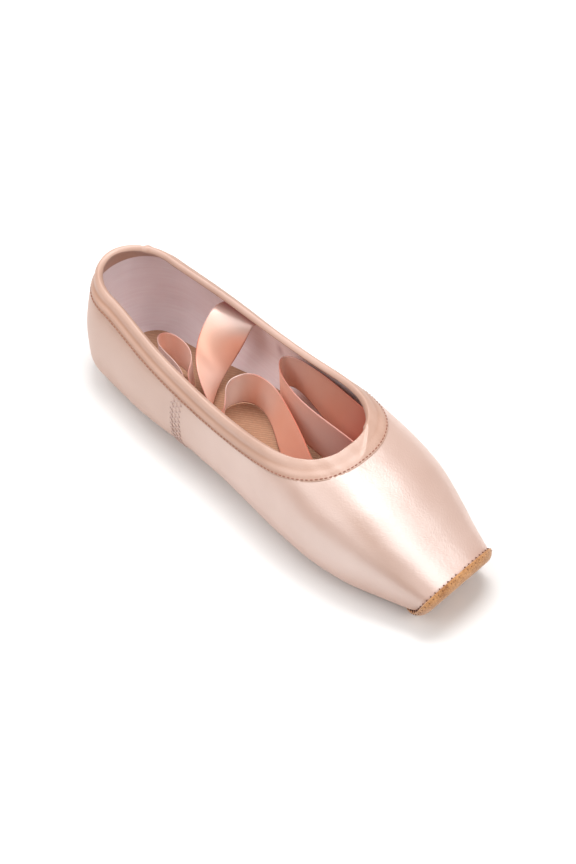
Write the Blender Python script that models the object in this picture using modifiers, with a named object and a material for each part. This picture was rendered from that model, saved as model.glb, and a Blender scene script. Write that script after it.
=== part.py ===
# A pointe shoe that stands empty on its sole
# Metres, +X to the toe, +Y to the wearer's left, +Z up, origin on the floor at mid length
# It is made on a straight last, so either foot can wear it

import math
from collections import namedtuple

import bmesh
import bpy
import numpy as np

# Driving sizes of the last
LENGTH = 0.233
BALL_WIDTH = 0.072
INSTEP_HEIGHT = 0.051
HEEL_HEIGHT = 0.0548
SIDE_HEIGHT = 0.0475
ARCH_LIFT = 0.002
TOE_SPRING = 0.0025
PLATFORM_LEAN = math.radians(23)
PLATFORM_EDGE = 0.003

# Walls, gaps and small sizes
UPPER_WALL = 0.002
SOLE_THICK = 0.0022
INSOLE_THICK = 0.0015
BINDING_OUTSIDE = 0.009
BINDING_INSIDE = 0.008
BINDING_WALL = 0.0008
BINDING_LIFT = 0.0005
BINDING_CROWN = 0.0009
PATCH_WALL = 0.0012
PATCH_UNDER = 0.012
RIBBON_WIDTH = 0.021
RIBBON_THICK = 0.0006
GAP = 0.0003
LASTING_MARGIN = 0.005

# Places along the shoe, as shares of LENGTH from the back of the heel
HEEL_FAN = 0.12
HEEL_FLAT_END = 0.14
BALL_FLAT_START = 0.60
RIM_GATHER = 0.56
BALL_FLAT_END = 0.73
THROAT = 0.705
LEAN_START = 0.76
SOLE_TAPER = 0.83
SOLE_FRONT = 0.905
OPENING_TAPER = 0.80
OPENING_FRONT = 0.88
INSOLE_TAPER = 0.84
INSOLE_FRONT = 0.93

# Pure shares of the form
SOLE_OF_TREAD = 0.86
HEEL_LEAN = 0.32
LOWER_FULLNESS = 2.05
RIM_UNDER_CREST = 0.95

# Sections of the last: along is a share of LENGTH, half, tread and seat are shares of half of
# BALL_WIDTH, widest and crest are shares of INSTEP_HEIGHT, and full is the power of the upper curve
# half: half width at the widest, widest: its height over the underside, crest: height of the top,
# tread: half width of the flat underside, seat: half width of the insole
Section = namedtuple("Section", "along half widest crest tread seat full")
SECTIONS = (
    Section(0.12, 0.845, 0.25, 1.17, 0.47, 0.36, 2.6),
    Section(0.25, 0.93, 0.265, 1.15, 0.46, 0.50, 2.4),
    Section(0.38, 0.93, 0.295, 1.13, 0.44, 0.68, 2.35),
    Section(0.51, 0.93, 0.32, 1.17, 0.51, 0.74, 2.4),
    Section(0.62, 0.98, 0.355, 1.13, 0.64, 0.80, 2.6),
    Section(0.72, 1.00, 0.355, 0.995, 0.69, 0.82, 2.6),
    Section(0.83, 0.90, 0.315, 0.83, 0.64, 0.74, 2.7),
    Section(0.92, 0.71, 0.23, 0.62, 0.50, 0.56, 2.8),
    Section(1.00, 0.555, 0.17, 0.465, 0.39, 0.44, 2.8),
)

# Edge of the opening: heel and throat are shares of the way from SIDE_HEIGHT up to HEEL_HEIGHT
# and to INSTEP_HEIGHT
RimRow = namedtuple("RimRow", "along heel throat")
RIM = (
    RimRow(0.00, 1.00, 0.00),
    RimRow(0.12, 0.88, 0.00),
    RimRow(0.25, 0.40, 0.00),
    RimRow(0.38, 0.00, 0.00),
    RimRow(0.51, 0.00, 0.05),
    RimRow(0.605, 0.00, 0.75),
    RimRow(THROAT, 0.00, 1.00),
)

# Folds of a ribbon: the middle of its width passes along (share of LENGTH), across (share of half of
# BALL_WIDTH) and height (share of SIDE_HEIGHT), and its upper edge leans from upright by lean degrees
# towards the heading toward, where 0 is the toe and 90 the wearer's left
Fold = namedtuple("Fold", "along across height lean toward")

# Sewn to the right wall, back in a loop, along the right wall into the box, and back in a second loop
RIBBON_RIGHT = (
    Fold(0.369, -0.772, 0.58, 0, 90),
    Fold(0.345, -0.620, 0.61, 0, 90),
    Fold(0.318, -0.495, 0.62, 0, 90),
    Fold(0.277, -0.430, 0.62, 0, 90),
    Fold(0.230, -0.375, 0.59, 0, 90),
    Fold(0.197, -0.236, 0.53, 0, 90),
    Fold(0.195, -0.083, 0.48, 0, 90),
    Fold(0.219, -0.005, 0.45, 0, 90),
    Fold(0.255, -0.033, 0.43, 0, 90),
    Fold(0.281, -0.167, 0.42, 0, 90),
    Fold(0.300, -0.320, 0.42, 0, 90),
    Fold(0.328, -0.425, 0.43, 0, 90),
    Fold(0.360, -0.570, 0.44, 0, 90),
    Fold(0.401, -0.690, 0.46, 0, 90),
    Fold(0.457, -0.722, 0.47, 0, 90),
    Fold(0.543, -0.720, 0.46, 0, 90),
    Fold(0.637, -0.750, 0.45, 0, 90),
    Fold(0.723, -0.720, 0.44, 0, 90),
    Fold(0.792, -0.600, 0.43, 0, 90),
    Fold(0.843, -0.360, 0.43, 0, 90),
    Fold(0.860, -0.060, 0.43, 0, 90),
    Fold(0.838, 0.180, 0.43, 0, 90),
    Fold(0.783, 0.310, 0.43, 2, 90),
    Fold(0.693, 0.340, 0.44, 8, 90),
    Fold(0.607, 0.310, 0.46, 12, 90),
    Fold(0.521, 0.315, 0.47, 10, 90),
    Fold(0.453, 0.420, 0.50, 3, 90),
    Fold(0.418, 0.570, 0.52, 0, 90),
    Fold(0.418, 0.690, 0.54, 0, 90),
    Fold(0.453, 0.740, 0.565, 3, 90),
    Fold(0.521, 0.700, 0.585, 15, 90),
    Fold(0.594, 0.630, 0.595, 27, 90),
    Fold(0.672, 0.600, 0.570, 31, 90),
    Fold(0.749, 0.570, 0.490, 28, 90),
    Fold(0.800, 0.460, 0.440, 18, 90),
)

# Sewn to the left wall under the binding, hanging over into the shoe, then on its edge in an arch
RIBBON_LEFT = (
    Fold(0.277, 0.744, 0.82, 88, 182),
    Fold(0.278, 0.620, 0.84, 82, 194),
    Fold(0.281, 0.470, 0.77, 76, 207),
    Fold(0.283, 0.330, 0.65, 68, 225),
    Fold(0.289, 0.190, 0.53, 58, 246),
    Fold(0.306, 0.030, 0.45, 50, 272),
    Fold(0.337, -0.163, 0.43, 46, 300),
    Fold(0.365, -0.340, 0.42, 32, 318),
    Fold(0.393, -0.470, 0.42, 16, 335),
    Fold(0.412, -0.430, 0.42, 8, 350),
    Fold(0.399, -0.290, 0.42, 8, 360),
    Fold(0.376, -0.160, 0.41, 8, 370),
    Fold(0.363, -0.020, 0.41, 8, 382),
    Fold(0.366, 0.120, 0.41, 8, 392),
    Fold(0.376, 0.221, 0.41, 8, 395),
    Fold(0.392, 0.284, 0.41, 9, 393),
    Fold(0.412, 0.305, 0.405, 12, 391),
    Fold(0.435, 0.290, 0.405, 14, 391),
    Fold(0.463, 0.233, 0.40, 17, 391),
    Fold(0.491, 0.157, 0.395, 21, 391),
    Fold(0.519, 0.072, 0.39, 26, 390),
    Fold(0.546, -0.012, 0.385, 29, 390),
    Fold(0.573, -0.100, 0.38, 31, 390),
    Fold(0.603, -0.190, 0.38, 30, 392),
    Fold(0.660, -0.280, 0.385, 20, 394),
    Fold(0.720, -0.250, 0.395, 10, 396),
    Fold(0.775, -0.150, 0.410, 4, 396),
)

Finish = namedtuple("Finish", "red green blue roughness")
SATIN = Finish(0.80, 0.61, 0.53, 0.42)
CASING = Finish(0.78, 0.52, 0.40, 0.55)
SUEDE = Finish(0.70, 0.33, 0.10, 0.90)
RIBBON = Finish(0.82, 0.45, 0.34, 0.38)
CANVAS = Finish(0.58, 0.36, 0.26, 0.85)
LEATHER = Finish(0.52, 0.31, 0.16, 0.70)

DIRECTION_STEP = 1e-5
TURN_STEP = 1e-3
EDGE_STEP = 2e-4
WALK_STEP = 0.0015
MERGE_DISTANCE = 1e-5


def spline(places, values):
    """Natural cubic spline through the values, as a function of the place."""
    places = np.array(places, float)
    values = np.array(values, float)
    count = len(places)
    width = np.diff(places)
    matrix = np.eye(count)
    right = np.zeros(count)
    for i in range(1, count - 1):
        matrix[i, i - 1] = width[i - 1]
        matrix[i, i] = 2 * (width[i - 1] + width[i])
        matrix[i, i + 1] = width[i]
        right[i] = 6 * ((values[i + 1] - values[i]) / width[i] - (values[i] - values[i - 1]) / width[i - 1])
    bend = np.linalg.solve(matrix, right)

    def value(place):
        i = int(np.clip(np.searchsorted(places, place) - 1, 0, count - 2))
        span = width[i]
        step = min(max(place, places[0]), places[-1]) - places[i]
        slope = (values[i + 1] - values[i]) / span - span * (2 * bend[i] + bend[i + 1]) / 6
        return values[i] + step * (slope + step * (bend[i] / 2 + step * (bend[i + 1] - bend[i]) / (6 * span)))

    return value


def column(rows, name):
    """Spline of one column of a table over its column along."""
    return spline([row.along for row in rows], [getattr(row, name) for row in rows])


def rounded(angle, power):
    """Point of a superellipse of radius 1 at an angle."""
    c, s = math.cos(angle), math.sin(angle)
    reach = (abs(c) ** power + abs(s) ** power) ** (-1 / power)
    return c * reach, s * reach


def closing(along, start, end):
    """1 up to start, then falls to 0 at end as a quarter of an ellipse does."""
    share = min(max((along - start) / (end - start), 0.0), 1.0)
    return math.sqrt(max(1 - share * share, 0.0))


class Last:
    """The shoe's outer surface as a function of u and t.

    u runs from the back of the heel to the middle of the platform, in metres along the shoe: below 0 it
    turns round the heel, past edge_u it rounds the platform's edge, and past face_u it crosses the platform.
    t runs round a section: 0 is the middle of the underside, 1 the edge of the tread, 2 the widest place,
    3 the crest.
    """

    def __init__(self):
        self.columns = {name: column(SECTIONS, name) for name in Section._fields[1:]}
        self.rim_heel = column(RIM, "heel")
        self.rim_throat = column(RIM, "throat")
        self.instep = INSTEP_HEIGHT / self.columns["crest"](THROAT)
        self.fan_x = self.x_of(HEEL_FAN)
        self.heel_reach = HEEL_FAN * LENGTH
        self.back_u = -self.heel_reach * math.pi / 2
        self.throat_u = self.u_of(THROAT)
        self.edge_u = self.u_of(1.0) - PLATFORM_EDGE
        self.face_u = self.edge_u + PLATFORM_EDGE * math.pi / 2
        self.end = self.sizes(self.u_of(1.0))
        self.pole_u = self.face_u + self.end["half"] - PLATFORM_EDGE

    def x_of(self, along):
        return (along - 0.5) * LENGTH

    def u_of(self, along):
        return (along - HEEL_FAN) * LENGTH

    def along(self, u):
        if u < 0:
            return HEEL_FAN * (1 - math.sin(min(-u / self.heel_reach, math.pi / 2)))
        return min(HEEL_FAN + u / LENGTH, 1.0)

    def lift(self, along):
        """Height of the underside over the floor: flat at heel and ball, raised at the arch and the toe."""
        arch = min(max((along - HEEL_FLAT_END) / (BALL_FLAT_START - HEEL_FLAT_END), 0.0), 1.0)
        spring = max((along - BALL_FLAT_END) / (1 - BALL_FLAT_END), 0.0)
        raised = ARCH_LIFT * math.sin(math.pi * arch) ** 2 + TOE_SPRING * spring ** 2
        return SOLE_THICK + GAP + raised

    def sizes(self, u):
        along = max(self.along(u), HEEL_FAN)
        read = {name: value(along) for name, value in self.columns.items()}
        half_ball = BALL_WIDTH / 2
        lift = self.lift(along)
        middle = lift + read["widest"] * self.instep
        heel_rise = 1.0
        if u < 0:
            heel_rise = (self.rim_height(u) - middle) / (self.rim_height(0) - middle)
        crest = read["crest"] * self.instep
        if along < RIM_GATHER:
            heel_edge = SIDE_HEIGHT + self.rim_heel(along) * (HEEL_HEIGHT - SIDE_HEIGHT)
            crest = max(crest, heel_edge / RIM_UNDER_CREST)
        return {
            "along": along,
            "half": read["half"] * half_ball,
            "tread": read["tread"] * half_ball,
            "seat": read["seat"] * half_ball,
            "lift": lift,
            "middle": middle,
            "heel_rise": heel_rise,
            "crest": crest,
            "full": read["full"],
        }

    def section(self, size, t):
        """Half width and height of the section's outline at t."""
        if t <= 1:
            return size["tread"] * t, size["lift"]
        angle = (t - 2) * math.pi / 2
        if t <= 2:
            across, down = rounded(angle, LOWER_FULLNESS)
            y = size["tread"] + (size["half"] - size["tread"]) * across
            return y, size["middle"] + (size["middle"] - size["lift"]) * down
        across, up = rounded(angle, size["full"])
        return size["half"] * across, size["middle"] + (size["crest"] - size["middle"]) * up * size["heel_rise"]

    def point(self, u, t):
        size = self.sizes(u)
        y, z = self.section(size, t)
        if u < 0:
            angle = -u / self.heel_reach
            share = y / size["half"]
            if t > 2:
                share = 1 - HEEL_LEAN * (1 - share)
            return np.array((self.fan_x - self.heel_reach * share * math.sin(angle), y * math.cos(angle), z))
        x = self.fan_x + min(u, self.edge_u)
        if u > self.edge_u:
            turn = min((u - self.edge_u) / PLATFORM_EDGE, math.pi / 2)
            x += PLATFORM_EDGE * math.sin(turn)
            inset = PLATFORM_EDGE * (1 - math.cos(turn))
            shrink = 1 - max(u - self.face_u, 0) / (self.pole_u - self.face_u)
            tall = size["crest"] - size["middle"] if z > size["middle"] else size["middle"] - size["lift"]
            y *= (1 - inset / size["half"]) * shrink
            z = size["middle"] + (z - size["middle"]) * (1 - inset / tall) * shrink
        front = self.x_of(1.0)
        lean = max((x - self.x_of(LEAN_START)) / (front - self.x_of(LEAN_START)), 0.0) ** 2
        return np.array((x - lean * math.tan(PLATFORM_LEAN) * (self.end["crest"] - z), y, z))

    def slopes(self, u, t):
        along = self.point(u + DIRECTION_STEP, t) - self.point(u - DIRECTION_STEP, t)
        around = self.point(u, t + TURN_STEP) - self.point(u, t - TURN_STEP)
        return along / (2 * DIRECTION_STEP), around / (2 * TURN_STEP)

    def normal(self, u, t):
        """Unit normal, out of the shoe."""
        if u >= self.face_u:
            return np.array((math.cos(PLATFORM_LEAN), 0.0, -math.sin(PLATFORM_LEAN)))
        if t < 1 and u < self.edge_u:
            return np.array((0.0, 0.0, -1.0))
        along, around = self.slopes(u, t)
        out = np.cross(around, along)
        return out / np.linalg.norm(out)

    def inside(self, u, t, depth):
        return self.point(u, t) - depth * self.normal(u, t)

    def rim_height(self, u):
        along = self.along(u)
        rise = self.rim_heel(along) * (HEEL_HEIGHT - SIDE_HEIGHT)
        return SIDE_HEIGHT + rise + self.rim_throat(along) * (INSTEP_HEIGHT - SIDE_HEIGHT)

    def rim_t(self, u):
        """t of the opening's edge."""
        if u >= self.throat_u:
            return 3.0
        u = max(u, 0)
        size = self.sizes(u)
        up = min((self.rim_height(u) - size["middle"]) / (size["crest"] - size["middle"]), 1.0)
        across = (1 - up ** size["full"]) ** (1 / size["full"])
        return 2 + math.atan2(up, across) * 2 / math.pi

    def t_at_width(self, size, y):
        """t of the underside's point at a distance y from the middle."""
        if y <= size["tread"]:
            return y / size["tread"]
        across = min((y - size["tread"]) / (size["half"] - size["tread"]), 1.0)
        down = (1 - across ** LOWER_FULLNESS) ** (1 / LOWER_FULLNESS)
        return 2 - math.atan2(down, across) * 2 / math.pi

    def opening_t(self, u):
        """t of the edge of the opening under the shoe, where the sole closes it."""
        size = self.sizes(u)
        half = size["tread"] * SOLE_OF_TREAD - LASTING_MARGIN
        return half * closing(size["along"], OPENING_TAPER, OPENING_FRONT) / size["tread"]

    def away(self, u):
        """Unit direction over the surface, straight away from the opening's edge."""
        if abs(u - self.back_u) < DIRECTION_STEP or abs(u - self.throat_u) < DIRECTION_STEP:
            edge = np.array((0.0, 1.0 if u < 0 else -1.0, 0.0))
        else:
            before, after = max(u - EDGE_STEP, self.back_u), min(u + EDGE_STEP, self.throat_u)
            edge = self.point(after, self.rim_t(after)) - self.point(before, self.rim_t(before))
        return np.cross(self.normal(u, self.rim_t(u)), edge / np.linalg.norm(edge))

    def walk(self, u, distance):
        """Place u, t reached from the opening's edge, at a distance over the surface."""
        t = self.rim_t(u)
        away = self.away(u)
        steps = max(math.ceil(abs(distance) / WALK_STEP), 1)
        for _ in range(steps):
            along, around = self.slopes(u, t)
            flat = np.array((along, around)).T
            move = np.linalg.lstsq(flat, away * distance / steps, rcond=None)[0]
            u, t = u + move[0], t + move[1]
        return u, t


def fan(last, count):
    """Stations round the heel, from its back to its side."""
    return [last.back_u * (1 - i / count) for i in range(count)]


def run(last, start, end, count):
    """Even stations between two places, without the last one."""
    first, final = last.u_of(start), last.u_of(end)
    return [first + (final - first) * i / count for i in range(count)]


def gather(last, start, end, count):
    """Stations that crowd towards the end, without the last one, for an outline that closes there."""
    first, final = last.u_of(start), last.u_of(end)
    return [first + (final - first) * math.sin(math.pi / 2 * i / count) for i in range(count)]


def sheet(name, rows, columns, place):
    """A grid whose vertex in a row and a column goes where place says, with its faces out of the shoe."""
    bm = bmesh.new()
    bmesh.ops.create_grid(bm, x_segments=rows, y_segments=columns, size=0.5)
    for vertex in bm.verts:
        row = round((vertex.co.x + 0.5) * rows)
        col = round((vertex.co.y + 0.5) * columns)
        vertex.co = place(row, col)
    bmesh.ops.remove_doubles(bm, verts=bm.verts, dist=MERGE_DISTANCE)
    bmesh.ops.reverse_faces(bm, faces=bm.faces)
    mesh = bpy.data.meshes.new(name)
    bm.to_mesh(mesh)
    bm.free()
    return bpy.data.objects.new(name, mesh)


def mirror(piece):
    """The other half, across the shoe's middle plane."""
    modifier = piece.modifiers.new("other_half", "MIRROR")
    modifier.use_axis = (False, True, False)
    modifier.merge_threshold = MERGE_DISTANCE


def thicken(piece, thickness, offset):
    """A wall on one side of the sheet: offset 1 is out along the normals, -1 is in."""
    modifier = piece.modifiers.new("wall", "SOLIDIFY")
    modifier.thickness = thickness
    modifier.offset = offset
    modifier.use_even_offset = True


def finish(piece, look, collection):
    material = bpy.data.materials.new(piece.name)
    material.use_nodes = True
    shader = material.node_tree.nodes["Principled BSDF"]
    shader.inputs["Base Color"].default_value = (look.red, look.green, look.blue, 1.0)
    shader.inputs["Roughness"].default_value = look.roughness
    piece.data.materials.append(material)
    piece.data.shade_smooth()
    collection.objects.link(piece)


def upper_columns(last, u):
    """t of each column of the upper: across the underside, up the lower side and up to the edge."""
    low = last.opening_t(u)
    high = last.rim_t(u)
    flat = [low + (1 - low) * i / 2 for i in range(2)]
    lower = [1 + i / 5 for i in range(5)]
    upper = [2 + (high - 2) * i / 7 for i in range(8)]
    return flat + lower + upper


def make_upper(last):
    stations = fan(last, 8)
    stations += run(last, HEEL_FAN, RIM_GATHER, 11)
    stations += gather(last, RIM_GATHER, THROAT, 8)
    stations += run(last, THROAT, OPENING_TAPER, 4)
    stations += gather(last, OPENING_TAPER, OPENING_FRONT, 4)
    stations += [last.u_of(OPENING_FRONT) + (last.edge_u - last.u_of(OPENING_FRONT)) * i / 4 for i in range(4)]
    stations += [last.edge_u + (last.face_u - last.edge_u) * i / 3 for i in range(3)]
    stations += [last.face_u + (last.pole_u - last.face_u) * i / 2 for i in range(3)]

    def place(row, col):
        u = stations[row]
        return last.point(u, upper_columns(last, u)[col])

    piece = sheet("upper", len(stations) - 1, 14, place)
    mirror(piece)
    thicken(piece, UPPER_WALL, -1)
    return piece


def edge_stations(last):
    """Stations along the opening's edge, from the back of the heel to the throat."""
    stations = fan(last, 8) + run(last, HEEL_FAN, RIM_GATHER, 11)
    return stations + gather(last, RIM_GATHER, THROAT, 8) + [last.throat_u]


def make_binding(last):
    stations = edge_stations(last)
    outer, middle, inner = -GAP, UPPER_WALL / 2, UPPER_WALL + 2 * GAP
    down = [(BINDING_OUTSIDE * share, outer) for share in (1.0, 0.67, 0.33)]
    over = [(BINDING_LIFT, outer), (BINDING_CROWN, middle), (BINDING_LIFT, inner)]
    up = [(BINDING_INSIDE * share, inner) for share in (0.5, 1.0)]

    def place(row, col):
        u = stations[row]
        if col < len(down):
            distance, depth = down[col]
            return last.inside(*last.walk(u, distance), depth)
        if col >= len(down) + len(over):
            distance, depth = up[col - len(down) - len(over)]
            return last.inside(*last.walk(u, distance), depth)
        rise, depth = over[col - len(down)]
        return last.inside(u, last.rim_t(u), depth) - rise * last.away(u)

    piece = sheet("binding", len(stations) - 1, len(down + over + up) - 1, place)
    mirror(piece)
    thicken(piece, BINDING_WALL, 1)
    return piece


def make_patch(last):
    """The suede tip over the platform, with its edge turned under the toe."""
    columns = [i / 2 for i in range(2)] + [1 + i / 5 for i in range(5)] + [2 + i / 7 for i in range(8)]

    def place(row, col):
        t = columns[col]
        start = last.edge_u - PATCH_UNDER * min(max(2 - t, 0.0), 1.0) ** 2
        stations = [start + (last.edge_u - start) * i / 2 for i in range(2)]
        stations += [last.edge_u + (last.face_u - last.edge_u) * i / 3 for i in range(3)]
        stations += [last.face_u + (last.pole_u - last.face_u) * i / 2 for i in range(3)]
        return last.inside(stations[row], t, -GAP)

    piece = sheet("platform_patch", 7, len(columns) - 1, place)
    mirror(piece)
    thicken(piece, PATCH_WALL, 1)
    return piece


def make_ribbon(name, folds, rows_per_fold):
    """A band that follows its folds, standing on its edge where it leans by 0."""
    numbers = list(range(len(folds)))
    paths = [spline(numbers, [getattr(fold, column) for fold in folds]) for column in Fold._fields]

    def place(row, col):
        along, across, height, lean, toward = [path(row / rows_per_fold) for path in paths]
        middle = np.array(((along - 0.5) * LENGTH, across * BALL_WIDTH / 2, height * SIDE_HEIGHT))
        lean, toward = math.radians(lean), math.radians(toward)
        up = np.array((math.sin(lean) * math.cos(toward), math.sin(lean) * math.sin(toward), math.cos(lean)))
        return middle + up * RIBBON_WIDTH * (col / 2 - 0.5)

    piece = sheet(name, (len(folds) - 1) * rows_per_fold, 2, place)
    thicken(piece, RIBBON_THICK, 0)
    return piece


def make_outsole(last):
    stations = fan(last, 6) + run(last, HEEL_FAN, SOLE_TAPER, 14)
    stations += gather(last, SOLE_TAPER, SOLE_FRONT, 5) + [last.u_of(SOLE_FRONT)]

    def place(row, col):
        u = stations[row]
        edge = SOLE_OF_TREAD * closing(last.sizes(u)["along"], SOLE_TAPER, SOLE_FRONT)
        return last.point(u, edge * col / 3) - (0, 0, GAP)

    piece = sheet("outsole", len(stations) - 1, 3, place)
    mirror(piece)
    thicken(piece, SOLE_THICK, 1)
    return piece


def make_insole(last):
    stations = fan(last, 6) + run(last, HEEL_FAN, INSOLE_TAPER, 14)
    stations += gather(last, INSOLE_TAPER, INSOLE_FRONT, 5) + [last.u_of(INSOLE_FRONT)]

    def place(row, col):
        u = stations[row]
        size = last.sizes(u)
        y = size["seat"] * closing(size["along"], INSOLE_TAPER, INSOLE_FRONT)
        return last.inside(u, last.t_at_width(size, y * col / 6), UPPER_WALL + GAP)

    piece = sheet("insole", len(stations) - 1, 6, place)
    mirror(piece)
    thicken(piece, INSOLE_THICK, -1)
    return piece


def main():
    for old in list(bpy.data.objects):
        bpy.data.objects.remove(old)
    shoe = bpy.data.collections.new("pointe_shoe")
    bpy.context.scene.collection.children.link(shoe)
    last = Last()
    finish(make_upper(last), SATIN, shoe)
    finish(make_outsole(last), LEATHER, shoe)
    finish(make_insole(last), CANVAS, shoe)
    finish(make_binding(last), CASING, shoe)
    finish(make_patch(last), SUEDE, shoe)
    finish(make_ribbon("ribbon_right", RIBBON_RIGHT, 3), RIBBON, shoe)
    finish(make_ribbon("ribbon_left", RIBBON_LEFT, 3), RIBBON, shoe)


main()
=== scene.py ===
"""The looks of a pointe shoe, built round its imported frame.

Metres throughout, in the frame's own axes: +X to the toe, +Y to the wearer's left, +Z up, floor at 0.
The shoe is satin lasted over cotton and a stiff box, with a drawstring casing round the opening, a thin
leather sole, a suede tip on the platform, and two satin ribbons folded into it.
"""

from __future__ import annotations

import logging
import math
from collections.abc import Sequence
from dataclasses import dataclass
from enum import Enum
from typing import Any, NamedTuple

import bpy
import numpy as np
from mathutils import Matrix, Vector

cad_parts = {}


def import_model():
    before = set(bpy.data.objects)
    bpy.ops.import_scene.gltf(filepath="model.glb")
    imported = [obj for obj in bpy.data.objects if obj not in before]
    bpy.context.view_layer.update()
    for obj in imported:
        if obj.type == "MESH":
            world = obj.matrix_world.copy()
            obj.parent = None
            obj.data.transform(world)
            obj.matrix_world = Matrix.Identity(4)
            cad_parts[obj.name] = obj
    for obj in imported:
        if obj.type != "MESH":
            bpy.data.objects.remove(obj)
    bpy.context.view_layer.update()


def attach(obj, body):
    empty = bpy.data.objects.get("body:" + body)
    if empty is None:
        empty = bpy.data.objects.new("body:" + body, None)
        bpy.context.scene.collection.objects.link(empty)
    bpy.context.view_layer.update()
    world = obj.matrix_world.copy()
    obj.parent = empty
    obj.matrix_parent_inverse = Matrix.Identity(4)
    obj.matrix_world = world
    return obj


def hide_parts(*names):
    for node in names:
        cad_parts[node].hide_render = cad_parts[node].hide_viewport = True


log = logging.getLogger("pointe_shoe")

MM = 0.001
MIRROR = np.array((1.0, -1.0, 1.0))
ROOT = "root"

# Points of a sheet closer than this are one point
MERGE_DISTANCE = 1e-5
# Steps that measure the last's slopes: along it in metres, and round it in t
DIRECTION_STEP = 1e-5
TURN_STEP = 1e-3
# Step that measures the direction of the opening's edge, and the longest step of a walk away from it
EDGE_STEP = 2e-4
WALK_STEP = 0.0015


class Side(Enum):
    """The wearer's side of the shoe, as the sign of Y."""

    RIGHT = -1
    LEFT = 1


class Slot(Enum):
    """Material slots of the record."""

    SATIN = "satin"
    CANVAS = "canvas"
    CASING = "casing"
    SUEDE = "suede"
    LEATHER = "sole_leather"
    RIBBON = "ribbon_satin"


class Section(NamedTuple):
    """A section of the last, in shares of the driving sizes."""

    along: float
    half: float
    widest: float
    crest: float
    tread: float
    seat: float
    full: float


class RimRow(NamedTuple):
    """Height of the opening's edge, as shares of its rise to the heel and to the throat."""

    along: float
    heel: float
    throat: float


class Fold(NamedTuple):
    """A place that the middle of a ribbon passes, and how its upper edge leans."""

    along: float
    across: float
    height: float
    lean: float
    toward: float


SECTIONS = (
    Section(0.12, 0.845, 0.25, 1.17, 0.47, 0.36, 2.6),
    Section(0.25, 0.93, 0.265, 1.15, 0.46, 0.50, 2.4),
    Section(0.38, 0.93, 0.295, 1.13, 0.44, 0.68, 2.35),
    Section(0.51, 0.93, 0.32, 1.17, 0.51, 0.74, 2.4),
    Section(0.62, 0.98, 0.355, 1.13, 0.64, 0.80, 2.6),
    Section(0.72, 1.00, 0.355, 0.995, 0.69, 0.82, 2.6),
    Section(0.83, 0.90, 0.315, 0.83, 0.64, 0.74, 2.7),
    Section(0.92, 0.71, 0.23, 0.62, 0.50, 0.56, 2.8),
    Section(1.00, 0.555, 0.17, 0.465, 0.39, 0.44, 2.8),
)

RIM = (
    RimRow(0.00, 1.00, 0.00),
    RimRow(0.12, 0.88, 0.00),
    RimRow(0.25, 0.40, 0.00),
    RimRow(0.38, 0.00, 0.00),
    RimRow(0.51, 0.00, 0.05),
    RimRow(0.605, 0.00, 0.75),
    RimRow(0.705, 0.00, 1.00),
)

RIBBON_RIGHT = (
    Fold(0.369, -0.772, 0.58, 0, 90),
    Fold(0.345, -0.620, 0.61, 0, 90),
    Fold(0.318, -0.495, 0.62, 0, 90),
    Fold(0.277, -0.430, 0.62, 0, 90),
    Fold(0.230, -0.375, 0.59, 0, 90),
    Fold(0.197, -0.236, 0.53, 0, 90),
    Fold(0.195, -0.083, 0.48, 0, 90),
    Fold(0.219, -0.005, 0.45, 0, 90),
    Fold(0.255, -0.033, 0.43, 0, 90),
    Fold(0.281, -0.167, 0.42, 0, 90),
    Fold(0.300, -0.320, 0.42, 0, 90),
    Fold(0.328, -0.425, 0.43, 0, 90),
    Fold(0.360, -0.570, 0.44, 0, 90),
    Fold(0.401, -0.690, 0.46, 0, 90),
    Fold(0.457, -0.722, 0.47, 0, 90),
    Fold(0.543, -0.720, 0.46, 0, 90),
    Fold(0.637, -0.750, 0.45, 0, 90),
    Fold(0.723, -0.720, 0.44, 0, 90),
    Fold(0.792, -0.600, 0.43, 0, 90),
    Fold(0.843, -0.360, 0.43, 0, 90),
    Fold(0.860, -0.060, 0.43, 0, 90),
    Fold(0.838, 0.180, 0.43, 0, 90),
    Fold(0.783, 0.310, 0.43, 2, 90),
    Fold(0.693, 0.340, 0.44, 8, 90),
    Fold(0.607, 0.310, 0.46, 12, 90),
    Fold(0.521, 0.315, 0.47, 10, 90),
    Fold(0.453, 0.420, 0.50, 3, 90),
    Fold(0.418, 0.570, 0.52, 0, 90),
    Fold(0.418, 0.690, 0.54, 0, 90),
    Fold(0.453, 0.740, 0.565, 3, 90),
    Fold(0.521, 0.700, 0.585, 15, 90),
    Fold(0.594, 0.630, 0.595, 27, 90),
    Fold(0.672, 0.600, 0.570, 31, 90),
    Fold(0.749, 0.570, 0.490, 28, 90),
    Fold(0.800, 0.460, 0.440, 18, 90),
)

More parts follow.
